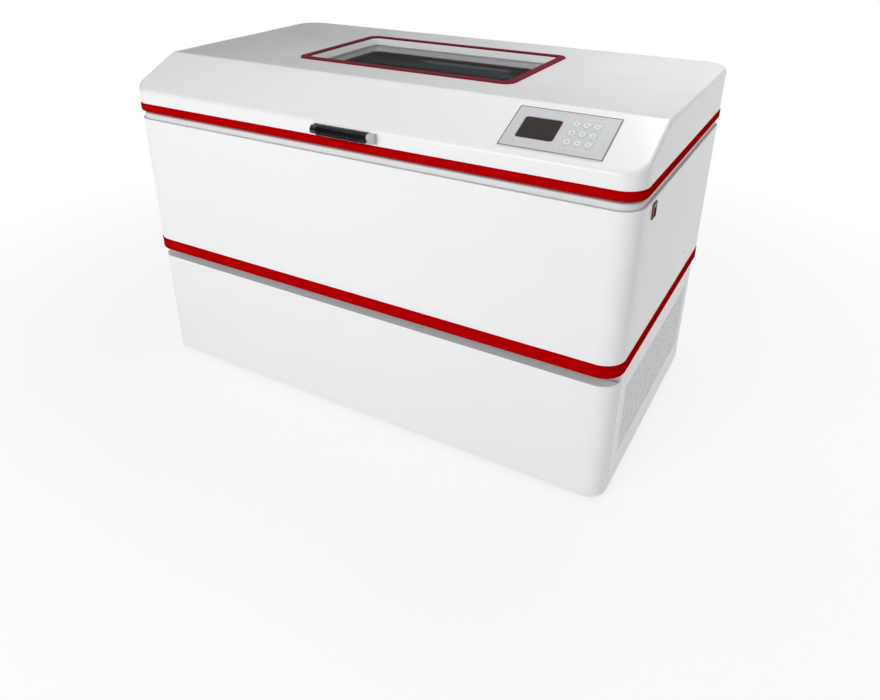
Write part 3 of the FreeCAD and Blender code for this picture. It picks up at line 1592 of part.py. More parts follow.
def evaporator_coil():
    bends = evaporator_tube_pitch / 2 + condenser_tube_radius + coil_tube_stub
    high_y = chamber_y - least_corner_radius - bends
    low_y = high_y - evaporator_length
    x_range = (chamber_x - evaporator_depth - condenser_gap, chamber_x - condenser_gap)
    z_range = (tank_floor_top, tank_floor_top + evaporator_height)
    return finned_coil(x_range, (low_y, high_y), z_range, evaporator_fin_pitch,
                       evaporator_tube_pitch, condenser_tube_radius, 1)


def temperature_probe():
    z = tank_floor_top + probe_height
    gland = rod(probe_gland_radius, point(probe_x, chamber_y, z), probe_gland_length, y_axis * -1)
    stem = rod(probe_radius, point(probe_x, chamber_y - probe_gland_length, z), probe_length, y_axis * -1)
    return union([gland, stem])


def main():
    os.makedirs("parts", exist_ok=True)
    save(base_frame(), "base_frame")
    save(levelling_feet(), "levelling_feet")
    save(base_front_panel(), "base_front_panel")
    right_panel = base_right_panel()
    save(right_panel, "base_right_panel")
    save(right_panel.mirror(point(0, 0), x_axis), "base_left_panel")
    save(base_rear_panel(), "base_rear_panel")
    save(trim_band(deck_top, body_bottom), "lower_trim_band")
    save(body_front_panel(), "body_front_panel")
    save(body_wrap_panel(), "body_wrap_panel")
    save(chamber_tank(), "chamber_tank")
    save(tank_insulation(), "tank_insulation")
    save(rim_frame(), "rim_frame")
    save(rim_gasket(), "rim_gasket")
    save(lid_shell(), "lid_shell")
    save(trim_band(lid_bottom, lid_band_top), "lid_trim_band")
    save(lid_liner(), "lid_liner")
    save(lid_insulation(), "lid_insulation")
    save(window_trim(), "window_trim")
    save(window_panes(), "window_panes")
    save(lamp_tube(), "lamp_tube")
    save(lamp_holders(), "lamp_holders")
    save(panel_plate(), "panel_plate")
    save(display_window(), "display_window")
    save(control_board(), "control_board")
    for index, (x, s) in enumerate(key_places()):
        save(key_cap(x, s), "key_" + str(index + 1))
    save(latch_base(), "latch_base")
    save(latch_pin(), "latch_pin")
    save(latch_lever(), "latch_lever")
    save(hinge_fixed_leaves(), "hinge_fixed_leaves")
    save(hinge_lid_leaves(), "hinge_lid_leaves")
    save(hinge_pins(), "hinge_pins")
    save(switch_bezel(), "switch_bezel")
    save(rocker(), "rocker")
    save(power_inlet(), "power_inlet")
    save(drive_mount(), "drive_mount")
    save(drive_motor(), "drive_motor")
    save(motor_pulley(), "motor_pulley")
    save(drive_belt(), "drive_belt")
    save(drive_spindle(), "drive_spindle")
    save(idler_crank(-1), "idler_crank_left")
    save(idler_crank(1), "idler_crank_right")
    save(platform(), "platform")
    save(compressor(), "compressor")
    save(condenser_coil(), "condenser_coil")
    save(fan_shroud(), "fan_shroud")
    save(condenser_fan(), "condenser_fan")
    save(air_duct_cover(), "air_duct_cover")
    save(chamber_fan_motor(), "chamber_fan_motor")
    save(chamber_fan(), "chamber_fan")
    save(duct_heater(), "duct_heater")
    save(evaporator_coil(), "evaporator_coil")
    save(temperature_probe(), "temperature_probe")


main()
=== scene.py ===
import math

import bmesh
import bpy
from mathutils import Matrix, Vector


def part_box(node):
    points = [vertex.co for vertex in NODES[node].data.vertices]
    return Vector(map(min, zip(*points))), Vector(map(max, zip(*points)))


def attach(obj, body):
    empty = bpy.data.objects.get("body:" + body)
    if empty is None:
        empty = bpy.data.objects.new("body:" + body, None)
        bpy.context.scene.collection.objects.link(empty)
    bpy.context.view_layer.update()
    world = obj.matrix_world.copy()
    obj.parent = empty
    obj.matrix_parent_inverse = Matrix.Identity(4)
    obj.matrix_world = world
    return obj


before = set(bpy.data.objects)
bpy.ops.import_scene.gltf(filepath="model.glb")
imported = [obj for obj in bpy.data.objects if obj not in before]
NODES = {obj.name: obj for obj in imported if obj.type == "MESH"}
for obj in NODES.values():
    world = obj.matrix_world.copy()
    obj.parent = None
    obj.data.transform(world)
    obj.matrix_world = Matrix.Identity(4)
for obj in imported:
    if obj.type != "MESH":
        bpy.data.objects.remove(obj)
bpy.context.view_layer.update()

# Looks of a chest shaker with a hinged lid. Metres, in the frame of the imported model:
# X along the front, Y from front to back, Z up, the floor at zero.

MM = 0.001

# Colours, linear, and the window's refraction
WHITE_PAINT = (0.84, 0.845, 0.85)
RIM_GREY = (0.7, 0.71, 0.71)
# Grey frame paint whose tone is also the painted shade of the channel above the base
FRAME_GREY_AND_CHANNEL_SHADE = (0.31, 0.315, 0.31)
BAND_RED = (0.4, 0.0, 0.001)
WINDOW_RED = (0.16, 0.006, 0.018)
LINER_GREY = (0.5, 0.51, 0.52)
STAINLESS = (0.56, 0.565, 0.57)
BRIGHT_METAL = (0.62, 0.62, 0.64)
LATCH_CHROME = (0.5, 0.5, 0.52)
TURNED_STEEL = (0.46, 0.46, 0.47)
RAW_ALUMINIUM = (0.72, 0.73, 0.75)
BLACK_LACQUER = (0.006, 0.006, 0.007)
BLACK_PLASTIC = (0.014, 0.014, 0.016)
RUBBER_BLACK = (0.022, 0.022, 0.022)
MACHINE_BLUE = (0.03, 0.045, 0.07)
BATT_YELLOW = (0.62, 0.52, 0.3)
BOARD_GREEN = (0.012, 0.1, 0.035)
PANEL_GREY = (0.565, 0.58, 0.595)
KEY_GREY = (0.7, 0.715, 0.705)
DISPLAY_BROWN = (0.028, 0.022, 0.02)
PANEL_LINE_RED = (0.16, 0.018, 0.022)
LEGEND_GREY = (0.16, 0.16, 0.17)
LAMP_GLASS = (0.7, 0.79, 0.9)
# Grey tint of the panes, which also darkens the chamber behind them as painted shade
GLASS_TINT_AND_CHAMBER_SHADE = (0.5, 0.53, 0.54)
DUST_GREY = (0.5, 0.48, 0.44)
KEYPAD_LINE_GREY = (0.78, 0.79, 0.78)
ROCKER_RED = (0.55, 0.05, 0.008)
ROCKER_GREEN = (0.05, 0.32, 0.04)
PAPER_WHITE = (0.93, 0.93, 0.93)
LIGHT_WHITE = (1.0, 1.0, 1.0, 1.0)
GLASS_IOR = 1.46

# What shows along edges, linear: rubbed wear, and on the black lacquer a painted glint
WORN_FRAME = (0.45, 0.45, 0.45)
WORN_MACHINE = (0.2, 0.21, 0.22)
WORN_FOIL = (0.42, 0.43, 0.42)
WORN_BAND = (0.46, 0.02, 0.02)
WORN_WINDOW_RED = (0.27, 0.03, 0.04)
# Painted glint along the edges of the black lacquer, not wear
LACQUER_EDGE_GLINT = (0.55, 0.55, 0.57)
WORN_POLISH = (0.6, 0.6, 0.6)
WORN_STEEL = (0.7, 0.7, 0.7)
WORN_RUBBER = (0.08, 0.08, 0.08)
WORN_BOARD = (0.25, 0.22, 0.1)
WORN_DISPLAY = (0.08, 0.05, 0.05)
WORN_KEY = (0.9, 0.9, 0.9)

# The slope of the lid that carries the control panel
FRONT_Y = -332.5 * MM
SLOPE_FOOT_Z = 695.0 * MM
SLOPE_RUN = 135.5 * MM
SLOPE_RISE = 60.5 * MM
SLOPE_ANGLE = math.atan2(SLOPE_RISE, SLOPE_RUN)
ON_SLOPE = (Matrix.Translation((0.0, FRONT_Y, SLOPE_FOOT_Z))
            @ Matrix.Rotation(SLOPE_ANGLE, 4, "X"))

# Control panel, in the slope's own x, s and n
PANEL_X = 418.0 * MM
PANEL_S = 74.0 * MM
PANEL_SIZE = (191.0 * MM, 111.0 * MM)
PANEL_FACE = 2.0 * MM
PANEL_LINE_WIDTH = 1.7 * MM
PANEL_LINE_RADIUS = 1.5 * MM
INK = 0.12 * MM
SMALLEST_RADIUS = 0.1 * MM
DISPLAY_OFFSET = (-38.0 * MM, -0.5 * MM)
DISPLAY_SIZE = (69.0 * MM, 56.0 * MM)
DISPLAY_RADIUS = 5.0 * MM
DISPLAY_LINE_WIDTH = 1.2 * MM
KEYPAD_OFFSET = (41.0 * MM, 0.8 * MM)
KEYPAD_LINE_SIZE = (68.0 * MM, 82.0 * MM)
KEYPAD_LINE_WIDTH = 0.6 * MM
KEYPAD_LINE_RADIUS = 1.0 * MM
KEY_COUNT = 9
KEY_PITCH = (19.0 * MM, 24.2 * MM)
KEY_FACE = 2.8 * MM
KEY_MARK_SIZE = 2.1 * MM
KEY_MARK_TURNS = (90, 90, 0, 180, 90, 0, 180, 270, 0)
NUMERAL_SIZE = 3.6 * MM
NUMERAL_DROP = 11.6 * MM
STATUS_DOT_OFFSET = (-72.3 * MM, -39.5 * MM)
STATUS_DOT_RADIUS = 1.0 * MM

# Length of the latch's bright end
LATCH_BRIGHT_END = 14.5 * MM

# Where the rocker turns from red to green, as shares of its height
ROCKER_GREEN_START = 0.72
ROCKER_GREEN_FULL = 0.78

# Rear panel screws, with a cross whose sizes are shares of the head's
SCREW_RADIUS = 4.0 * MM
SCREW_HEIGHT = 1.8 * MM
CROSS_ARM = 0.55
CROSS_HALF_WIDTH = 0.12
CROSS_FOOT = 0.6
CROSS_TOP = 1.02
SCREW_FACE_Y = 328.5 * MM
SCREW_SPAN_X = 500.0 * MM
SCREW_ROWS_Z = (24.0 * MM, 284.0 * MM)
SCREW_COLUMNS = 6

# Camera, fitted to the straight edges of the photographed body; angles in degrees
CAMERA_PLACE = (0.8605, -1.4913, 1.1080)
CAMERA_TILT = 63.71
CAMERA_TURN = 30.25
CAMERA_LENS = 31.1
CAMERA_SHIFT = (0.0183, -0.100)

# Floor and sky
FLOOR_REACH = 14.0
# Share of pure white in the floor near the object; it grows to one from near to far
FLOOR_LIFT = 0.78
FLOOR_NEAR = 0.8
FLOOR_FAR = 1.8
# Under the base frame the share falls to zero, here as a part of the frame's half size
FOOTPRINT_FADE = 0.85
# Strength of the sky as a lamp
SKY_LIGHT = 0.29
# Strength of its mirror image, which grows to one from a low to a high direction's Z
HORIZON_SHADE = 0.05
SKY_LOW = 0.24
SKY_HIGH = 0.7

# Lamps: place, what they point at, size and watts
ROOM_MIDDLE = (0.0, 0.0, 0.45)
LAMPS = {
    "front_softbox": ((-0.4, -3.2, 1.8), ROOM_MIDDLE, (2.4, 1.8), 69.0),
    "right_fill": ((3.2, 0.2, 1.2), ROOM_MIDDLE, (1.6, 1.6), 9.5),
    "rear_fill": ((-2.0, 2.8, 0.4), (0.0, 0.0, 0.4), (2.0, 0.6), 38.0),
    "top_softbox": ((0.62, 0.4, 1.75), (0.6, 0.35, 0.75), (0.5, 0.5), 9.0),
}


# Shared effects, as node groups

def new_group(name, inputs, outputs):
    """Empty shader group with named sockets, returned with its input node and output node."""
    group = bpy.data.node_groups.new(name, "ShaderNodeTree")
    for label, kind, value in inputs:
        socket = group.interface.new_socket(name=label, in_out="INPUT", socket_type=kind)
        socket.default_value = value
    for label, kind in outputs:
        group.interface.new_socket(name=label, in_out="OUTPUT", socket_type=kind)
    return group, group.nodes.new("NodeGroupInput"), group.nodes.new("NodeGroupOutput")


def add_node(tree, kind, values=None, **settings):
    """New node in a tree, with its settings and the values of its input sockets."""
    node = tree.nodes.new(kind)
    for key, value in settings.items():
        setattr(node, key, value)
    for key, value in (values or {}).items():
        node.inputs[key].default_value = value
    return node


def make_drift_group():
    """Slow change of tone over the surface."""
    group, given, result = new_group(
        "tone_drift",
        [("Colour", "NodeSocketColor", (1.0, 1.0, 1.0, 1.0)),
         ("Amount", "NodeSocketFloat", 0.05), ("Scale", "NodeSocketFloat", 5.0)],
        [("Colour", "NodeSocketColor")])
    place = add_node(group, "ShaderNodeTexCoord")
    noise = add_node(group, "ShaderNodeTexNoise", {"Detail": 3.0, "Roughness": 0.55})
    swing = add_node(group, "ShaderNodeMath", {1: 0.5}, operation="SUBTRACT")
    scaled = add_node(group, "ShaderNodeMath", operation="MULTIPLY")
    level = add_node(group, "ShaderNodeMath", {1: 1.0}, operation="ADD")
    tint = add_node(group, "ShaderNodeVectorMath", operation="SCALE")
    link = group.links.new
    link(place.outputs["Object"], noise.inputs["Vector"])
    link(given.outputs["Scale"], noise.inputs["Scale"])
    link(noise.outputs["Fac"], swing.inputs[0])
    link(swing.outputs[0], scaled.inputs[0])
    link(given.outputs["Amount"], scaled.inputs[1])
    link(scaled.outputs[0], level.inputs[0])
    link(given.outputs["Colour"], tint.inputs[0])
    link(level.outputs[0], tint.inputs["Scale"])
    link(tint.outputs[0], result.inputs["Colour"])
    return group


def make_grain_group():
    """Fine relief of paint or moulded plastic, with a slower field for the roughness."""
    group, given, result = new_group(
        "fine_grain",
        [("Scale", "NodeSocketFloat", 800.0), ("Smooth", "NodeSocketFloat", 0.3),
         ("Matt", "NodeSocketFloat", 0.45)],
        [("Height", "NodeSocketFloat"), ("Roughness", "NodeSocketFloat")])
    place = add_node(group, "ShaderNodeTexCoord")
    fine = add_node(group, "ShaderNodeTexNoise", {"Detail": 2.0, "Roughness": 0.5})
    slow_scale = add_node(group, "ShaderNodeMath", {1: 0.02}, operation="MULTIPLY")
    slow = add_node(group, "ShaderNodeTexNoise", {"Detail": 4.0, "Roughness": 0.6})
    spread = add_node(group, "ShaderNodeMapRange", {"From Min": 0.3, "From Max": 0.7})
    link = group.links.new
    link(place.outputs["Object"], fine.inputs["Vector"])
    link(place.outputs["Object"], slow.inputs["Vector"])
    link(given.outputs["Scale"], fine.inputs["Scale"])
    link(given.outputs["Scale"], slow_scale.inputs[0])
    link(slow_scale.outputs[0], slow.inputs["Scale"])
    link(slow.outputs["Fac"], spread.inputs["Value"])
    link(given.outputs["Smooth"], spread.inputs["To Min"])
    link(given.outputs["Matt"], spread.inputs["To Max"])
    link(fine.outputs["Fac"], result.inputs["Height"])
    link(spread.outputs["Result"], result.inputs["Roughness"])
    return group


def make_brush_group():
    """Long fine scratches of brushed or rolled metal, along the axis with the least stretch."""
    group, given, result = new_group(
        "brush_lines",
        [("Stretch", "NodeSocketVector", (20.0, 1500.0, 1500.0)),
         ("Smooth", "NodeSocketFloat", 0.25), ("Matt", "NodeSocketFloat", 0.42)],
        [("Height", "NodeSocketFloat"), ("Roughness", "NodeSocketFloat")])
    place = add_node(group, "ShaderNodeTexCoord")
    stretch = add_node(group, "ShaderNodeVectorMath", operation="MULTIPLY")
    lines = add_node(group, "ShaderNodeTexNoise", {"Scale": 1.0, "Detail": 3.0, "Roughness": 0.6})
    spread = add_node(group, "ShaderNodeMapRange", {"From Min": 0.3, "From Max": 0.7})
    link = group.links.new
    link(place.outputs["Object"], stretch.inputs[0])
    link(given.outputs["Stretch"], stretch.inputs[1])
    link(stretch.outputs[0], lines.inputs["Vector"])
    link(lines.outputs["Fac"], spread.inputs["Value"])
    link(given.outputs["Smooth"], spread.inputs["To Min"])
    link(given.outputs["Matt"], spread.inputs["To Max"])
    link(lines.outputs["Fac"], result.inputs["Height"])
    link(spread.outputs["Result"], result.inputs["Roughness"])
    return group


def make_edge_group():
    """Mask that is high along edges that hands and cloths have rubbed, broken up by noise; on the
    black lacquer it carries a painted glint instead of wear.
    """
    group, given, result = new_group(
        "edge_wear_and_glint",
        [("Radius", "NodeSocketFloat", 0.0015), ("Amount", "NodeSocketFloat", 0.5)],
        [("Mask", "NodeSocketFloat")])
    place = add_node(group, "ShaderNodeTexCoord")
    rounded = add_node(group, "ShaderNodeBevel", samples=4)
    flat = add_node(group, "ShaderNodeNewGeometry")
    match = add_node(group, "ShaderNodeVectorMath", operation="DOT_PRODUCT")
    edge = add_node(group, "ShaderNodeMapRange",
                    {"From Min": 0.995, "From Max": 0.88, "To Min": 0.0, "To Max": 1.0})
    patches = add_node(group, "ShaderNodeTexNoise",
                       {"Scale": 45.0, "Detail": 5.0, "Roughness": 0.7})
    broken = add_node(group, "ShaderNodeMapRange", {"From Min": 0.42, "From Max": 0.62})
    both = add_node(group, "ShaderNodeMath", operation="MULTIPLY")
    scaled = add_node(group, "ShaderNodeMath", operation="MULTIPLY")
    link = group.links.new
    link(given.outputs["Radius"], rounded.inputs["Radius"])
    link(rounded.outputs["Normal"], match.inputs[0])
    link(flat.outputs["Normal"], match.inputs[1])
    link(match.outputs["Value"], edge.inputs["Value"])
    link(place.outputs["Object"], patches.inputs["Vector"])
    link(patches.outputs["Fac"], broken.inputs["Value"])
    link(edge.outputs["Result"], both.inputs[0])
    link(broken.outputs["Result"], both.inputs[1])
    link(both.outputs[0], scaled.inputs[0])
    link(given.outputs["Amount"], scaled.inputs[1])
    link(scaled.outputs[0], result.inputs["Mask"])
    return group


def make_dust_group():
    """Mask of a thin film on faces that look up, thicker in patches."""
    group, given, result = new_group(
        "settled_dust", [("Amount", "NodeSocketFloat", 0.1)], [("Mask", "NodeSocketFloat")])
    place = add_node(group, "ShaderNodeTexCoord")
    facing = add_node(group, "ShaderNodeNewGeometry")
    parts = add_node(group, "ShaderNodeSeparateXYZ")
    upward = add_node(group, "ShaderNodeMapRange", {"From Min": 0.5, "From Max": 1.0})
    patches = add_node(group, "ShaderNodeTexNoise",
                       {"Scale": 9.0, "Detail": 7.0, "Roughness": 0.65})
    film = add_node(group, "ShaderNodeMapRange", {"From Min": 0.35, "From Max": 0.75})
    both = add_node(group, "ShaderNodeMath", operation="MULTIPLY")
    scaled = add_node(group, "ShaderNodeMath", operation="MULTIPLY")
    link = group.links.new
    link(facing.outputs["Normal"], parts.inputs[0])
    link(parts.outputs["Z"], upward.inputs["Value"])
    link(place.outputs["Object"], patches.inputs["Vector"])
    link(patches.outputs["Fac"], film.inputs["Value"])
    link(upward.outputs["Result"], both.inputs[0])
    link(film.outputs["Result"], both.inputs[1])
    link(both.outputs[0], scaled.inputs[0])
    link(given.outputs["Amount"], scaled.inputs[1])
    link(scaled.outputs[0], result.inputs["Mask"])
    return group


DRIFT = make_drift_group()
GRAIN = make_grain_group()
BRUSH = make_brush_group()
EDGES = make_edge_group()
DUST = make_dust_group()


# Colour sockets of a mix node, which come after its sockets for numbers and vectors
MIX_UNDER = 6
MIX_OVER = 7
MIX_RESULT = 2


class Finish:
    """A material that is built up from a base colour by adding effects."""

    def __init__(self, name, colour, metallic=0.0, roughness=0.4):
        self.material = bpy.data.materials.new(name)
        self.material.use_nodes = True
        self.tree = self.material.node_tree
        self.shader = self.tree.nodes["Principled BSDF"]
        self.shader.inputs["Metallic"].default_value = metallic
        self.shader.inputs["Roughness"].default_value = roughness
        self.material.diffuse_color = (*colour, 1.0)
        self.colour = None
        self.plain = (*colour, 1.0)

    def place(self, group, **values):
        """Puts a shared effect into the material."""
        node = self.tree.nodes.new("ShaderNodeGroup")
        node.node_tree = group
        for key, value in values.items():
            node.inputs[key].default_value = value
        return node

    def feed_colour(self, socket):
        """Gives a socket the colour so far."""
        if self.colour is None:
            socket.default_value = self.plain
        else:
            self.tree.links.new(self.colour, socket)

    def keep_colour(self, output):
        """Takes a node's output as the colour from now on."""
        self.colour = output
        self.tree.links.new(output, self.shader.inputs["Base Color"])

    def drift(self, amount, scale):
        """Varies the tone by half the amount either way; a larger scale has smaller patches."""
        node = self.place(DRIFT, Amount=amount, Scale=scale)
        self.feed_colour(node.inputs["Colour"])
        self.keep_colour(node.outputs["Colour"])
        return self

    def blend(self, mask, colour):
        """Lays another colour over the one so far, where the mask says."""
        mix = add_node(self.tree, "ShaderNodeMix", data_type="RGBA")
        self.tree.links.new(mask, mix.inputs["Factor"])
        self.feed_colour(mix.inputs[MIX_UNDER])
        mix.inputs[MIX_OVER].default_value = (*colour, 1.0)
        self.keep_colour(mix.outputs[MIX_RESULT])
        return self

    def dust(self, amount):
        return self.blend(self.place(DUST, Amount=amount).outputs["Mask"], DUST_GREY)

    def edges(self, radius, amount, colour):
        """Shows the given colour along edges: rubbed wear, and on the black lacquer a painted
        glint.
        """
        return self.blend(self.place(EDGES, Radius=radius, Amount=amount).outputs["Mask"], colour)

    def relief(self, node, strength, depth):
        """Sends a group's height and roughness to the shader."""
        bump = add_node(self.tree, "ShaderNodeBump", {"Strength": strength, "Distance": depth})
        link = self.tree.links.new
        link(node.outputs["Height"], bump.inputs["Height"])
        link(bump.outputs["Normal"], self.shader.inputs["Normal"])
        link(node.outputs["Roughness"], self.shader.inputs["Roughness"])
        return self

    def grain(self, scale, smooth, matt, strength=0.2, depth=0.1 * MM):
        """Fine relief, with a roughness between smooth and matt."""
        node = self.place(GRAIN, Scale=scale, Smooth=smooth, Matt=matt)
        return self.relief(node, strength, depth)

    def brushed(self, stretch, smooth, matt):
        """Brush lines, with a roughness between smooth and matt."""
        node = self.place(BRUSH, Stretch=stretch, Smooth=smooth, Matt=matt)
        return self.relief(node, strength=0.15, depth=0.05 * MM)

    def set(self, **values):
        """Sets sockets of the shader that are the same all over the surface."""
        for key, value in values.items():
            self.shader.inputs[key.replace("_", " ")].default_value = value
        return self


# Materials

def white_paint():
    finish = Finish("white_paint", WHITE_PAINT)
    finish.drift(amount=0.02, scale=3.0).dust(0.03)
    finish.grain(scale=240.0, smooth=0.27, matt=0.34, strength=0.03)
    return finish.set(Coat_Weight=0.12, Coat_Roughness=0.12).material


def grey_frame_paint():
    # The frame's grey partly stands for the shade in the channel under the red band, as painted
    # shade
    finish = Finish("grey_frame_paint", FRAME_GREY_AND_CHANNEL_SHADE)
    finish.drift(amount=0.08, scale=6.0).dust(0.2)
    finish.edges(radius=1.0 * MM, amount=0.4, colour=WORN_FRAME)
    return finish.grain(scale=900.0, smooth=0.4, matt=0.55).material


def machine_paint():
    finish = Finish("machine_paint", MACHINE_BLUE)
    finish.drift(amount=0.15, scale=12.0).dust(0.35)
    finish.edges(radius=1.2 * MM, amount=0.5, colour=WORN_MACHINE)
    return finish.grain(scale=700.0, smooth=0.35, matt=0.6, strength=0.3).material


def control_panel_foil():
    finish = Finish("control_panel_foil", PANEL_GREY)
    finish.drift(amount=0.03, scale=20.0)
    finish.edges(radius=0.6 * MM, amount=0.4, colour=WORN_FOIL)
    finish.grain(scale=2600.0, smooth=0.36, matt=0.46, strength=0.25, depth=0.05 * MM)
    return finish.material


def red_band():
    """Matt dark red, without the white mirror that would turn it pink at a low angle."""
    finish = Finish("red_band", BAND_RED)
    finish.drift(amount=0.08, scale=4.0).dust(0.01)
    finish.edges(radius=0.5 * MM, amount=0.2, colour=WORN_BAND)
    finish.grain(scale=420.0, smooth=0.3, matt=0.4, strength=0.1)
    return finish.set(Specular_IOR_Level=0.0).material


def red_window_frame():
    finish = Finish("red_window_frame", WINDOW_RED)
    finish.drift(amount=0.12, scale=7.0).dust(0.01)
    finish.edges(radius=0.5 * MM, amount=0.25, colour=WORN_WINDOW_RED)
    finish.grain(scale=520.0, smooth=0.34, matt=0.44, strength=0.12)
    return finish.set(Specular_IOR_Level=0.08).material


def moulded(name, colour, smooth=0.38, matt=0.52, worn=0.35):
    """Injection-moulded plastic with a fine eroded grain."""
    pale = tuple(min(1.0, channel * 1.5 + 0.03) for channel in colour)
    finish = Finish(name, colour)
    finish.drift(amount=0.06, scale=14.0).dust(0.08)
    finish.edges(radius=0.7 * MM, amount=worn, colour=pale)
    return finish.grain(scale=1500.0, smooth=smooth, matt=matt, strength=0.3).material


def lacquered_black():
    finish = Finish("lacquered_black", BLACK_LACQUER)
    finish.drift(amount=0.3, scale=18.0)
    # The pale edge colour here is a painted glint along the lever's ribs
    finish.edges(radius=0.5 * MM, amount=0.8, colour=LACQUER_EDGE_GLINT)
    finish.grain(scale=380.0, smooth=0.12, matt=0.22, strength=0.1)
    return finish.set(Specular_IOR_Level=0.15).material


def sheet_stainless():
    finish = Finish("sheet_stainless", STAINLESS, metallic=1.0)
    finish.drift(amount=0.08, scale=3.0)
    return finish.brushed(stretch=(1400.0, 1400.0, 14.0), smooth=0.24, matt=0.4).material


def polished_metal():
    finish = Finish("polished_metal", BRIGHT_METAL, metallic=1.0)
    finish.drift(amount=0.05, scale=30.0)
    finish.edges(radius=0.6 * MM, amount=0.4, colour=WORN_POLISH)
    return finish.grain(scale=300.0, smooth=0.06, matt=0.16, strength=0.08).material


def latch_metal():
    """Bright cheek at the right end, black lacquer on the rest of the piece."""
    finish = Finish("latch_metal", LATCH_CHROME, roughness=0.14)
    finish.drift(amount=0.05, scale=30.0)
    right_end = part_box("latch_base")[1].x
    place = add_node(finish.tree, "ShaderNodeTexCoord")
    parts = add_node(finish.tree, "ShaderNodeSeparateXYZ")
    bright = add_node(finish.tree, "ShaderNodeMath", {1: right_end - LATCH_BRIGHT_END},
                      operation="GREATER_THAN")
    lacquer = add_node(finish.tree, "ShaderNodeMath", {0: 1.0}, operation="SUBTRACT")
    link = finish.tree.links.new
    link(place.outputs["Object"], parts.inputs[0])
    link(parts.outputs["X"], bright.inputs[0])
    link(bright.outputs[0], lacquer.inputs[1])
    link(bright.outputs[0], finish.shader.inputs["Metallic"])
    return finish.blend(lacquer.outputs[0], BLACK_LACQUER).material


def turned_steel():
    finish = Finish("turned_steel", TURNED_STEEL, metallic=1.0)
    finish.drift(amount=0.15, scale=25.0)
    finish.edges(radius=0.8 * MM, amount=0.5, colour=WORN_STEEL)
    return finish.brushed(stretch=(160.0, 160.0, 2200.0), smooth=0.26, matt=0.46).material


def raw_aluminium():
    finish = Finish("raw_aluminium", RAW_ALUMINIUM, metallic=1.0)
    finish.drift(amount=0.08, scale=15.0).dust(0.15)
    return finish.brushed(stretch=(25.0, 1300.0, 1300.0), smooth=0.3, matt=0.48).material


def plain_rubber():
    finish = Finish("plain_rubber", RUBBER_BLACK)
    finish.drift(amount=0.25, scale=20.0).dust(0.4)
    finish.edges(radius=1.0 * MM, amount=0.4, colour=WORN_RUBBER)
    return finish.grain(scale=1100.0, smooth=0.65, matt=0.85, strength=0.5).material


def insulation_batt():
    """Matted fibre, with a deep soft relief."""
    finish = Finish("insulation_batt", BATT_YELLOW)
    finish.drift(amount=0.35, scale=40.0)
    finish.grain(scale=260.0, smooth=0.85, matt=0.98, strength=1.0, depth=1.2 * MM)
    return finish.material


def circuit_board():
    finish = Finish("circuit_board", BOARD_GREEN)
    finish.drift(amount=0.2, scale=60.0)
    finish.edges(radius=0.5 * MM, amount=0.6, colour=WORN_BOARD)
    return finish.grain(scale=3000.0, smooth=0.28, matt=0.42, strength=0.3).material


def display_glass():
    """Dark tinted cover of the display, which is off."""
    finish = Finish("display_glass", DISPLAY_BROWN)
    finish.drift(amount=0.2, scale=25.0)
    finish.edges(radius=0.6 * MM, amount=0.5, colour=WORN_DISPLAY)
    finish.grain(scale=900.0, smooth=0.26, matt=0.34, strength=0.05)
    return finish.set(Specular_IOR_Level=0.12).material


def key_plastic():
    finish = Finish("key_plastic", KEY_GREY)
    finish.drift(amount=0.04, scale=60.0)
    finish.edges(radius=0.7 * MM, amount=0.7, colour=WORN_KEY)
    finish.grain(scale=2400.0, smooth=0.34, matt=0.46, strength=0.25, depth=0.05 * MM)
    return finish.material


def window_glass():
    # The panes' grey tint partly stands for the shade inside the chamber, as painted shade
    finish = Finish("window_glass", GLASS_TINT_AND_CHAMBER_SHADE, roughness=0.02)
    finish.drift(amount=0.04, scale=6.0)
    return finish.set(Transmission_Weight=1.0, IOR=GLASS_IOR).material


def lamp_glass():
    """White tube that glows in its own colour."""
    finish = Finish("lamp_glass", LAMP_GLASS)
    finish.drift(amount=0.05, scale=30.0)
    finish.tree.links.new(finish.colour, finish.shader.inputs["Emission Color"])
    finish.grain(scale=500.0, smooth=0.12, matt=0.2, strength=0.05)
    return finish.set(Emission_Strength=1.0).material


def ink(name, colour):
    """Printed line or figure, slightly worn."""
    finish = Finish(name, colour)
    finish.drift(amount=0.15, scale=200.0)
    finish.grain(scale=3000.0, smooth=0.4, matt=0.55, strength=0.2, depth=0.02 * MM)
    return finish.material


def rocker_plastic():
    """Red moulding with a green upper end, lit from behind."""
    finish = Finish("rocker_plastic", ROCKER_RED)
    finish.drift(amount=0.2, scale=80.0)
    low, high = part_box("rocker")
    height = high.z - low.z
    place = add_node(finish.tree, "ShaderNodeTexCoord")
    parts = add_node(finish.tree, "ShaderNodeSeparateXYZ")
    split = add_node(finish.tree, "ShaderNodeMapRange",
                     {"From Min": low.z + height * ROCKER_GREEN_START,
                      "From Max": low.z + height * ROCKER_GREEN_FULL})
    link = finish.tree.links.new
    link(place.outputs["Object"], parts.inputs[0])
    link(parts.outputs["Z"], split.inputs["Value"])
    finish.blend(split.outputs["Result"], ROCKER_GREEN)
    link(finish.colour, finish.shader.inputs["Emission Color"])
    finish.grain(scale=700.0, smooth=0.2, matt=0.3, strength=0.1)
    return finish.set(Emission_Strength=0.5, Specular_IOR_Level=0.3).material


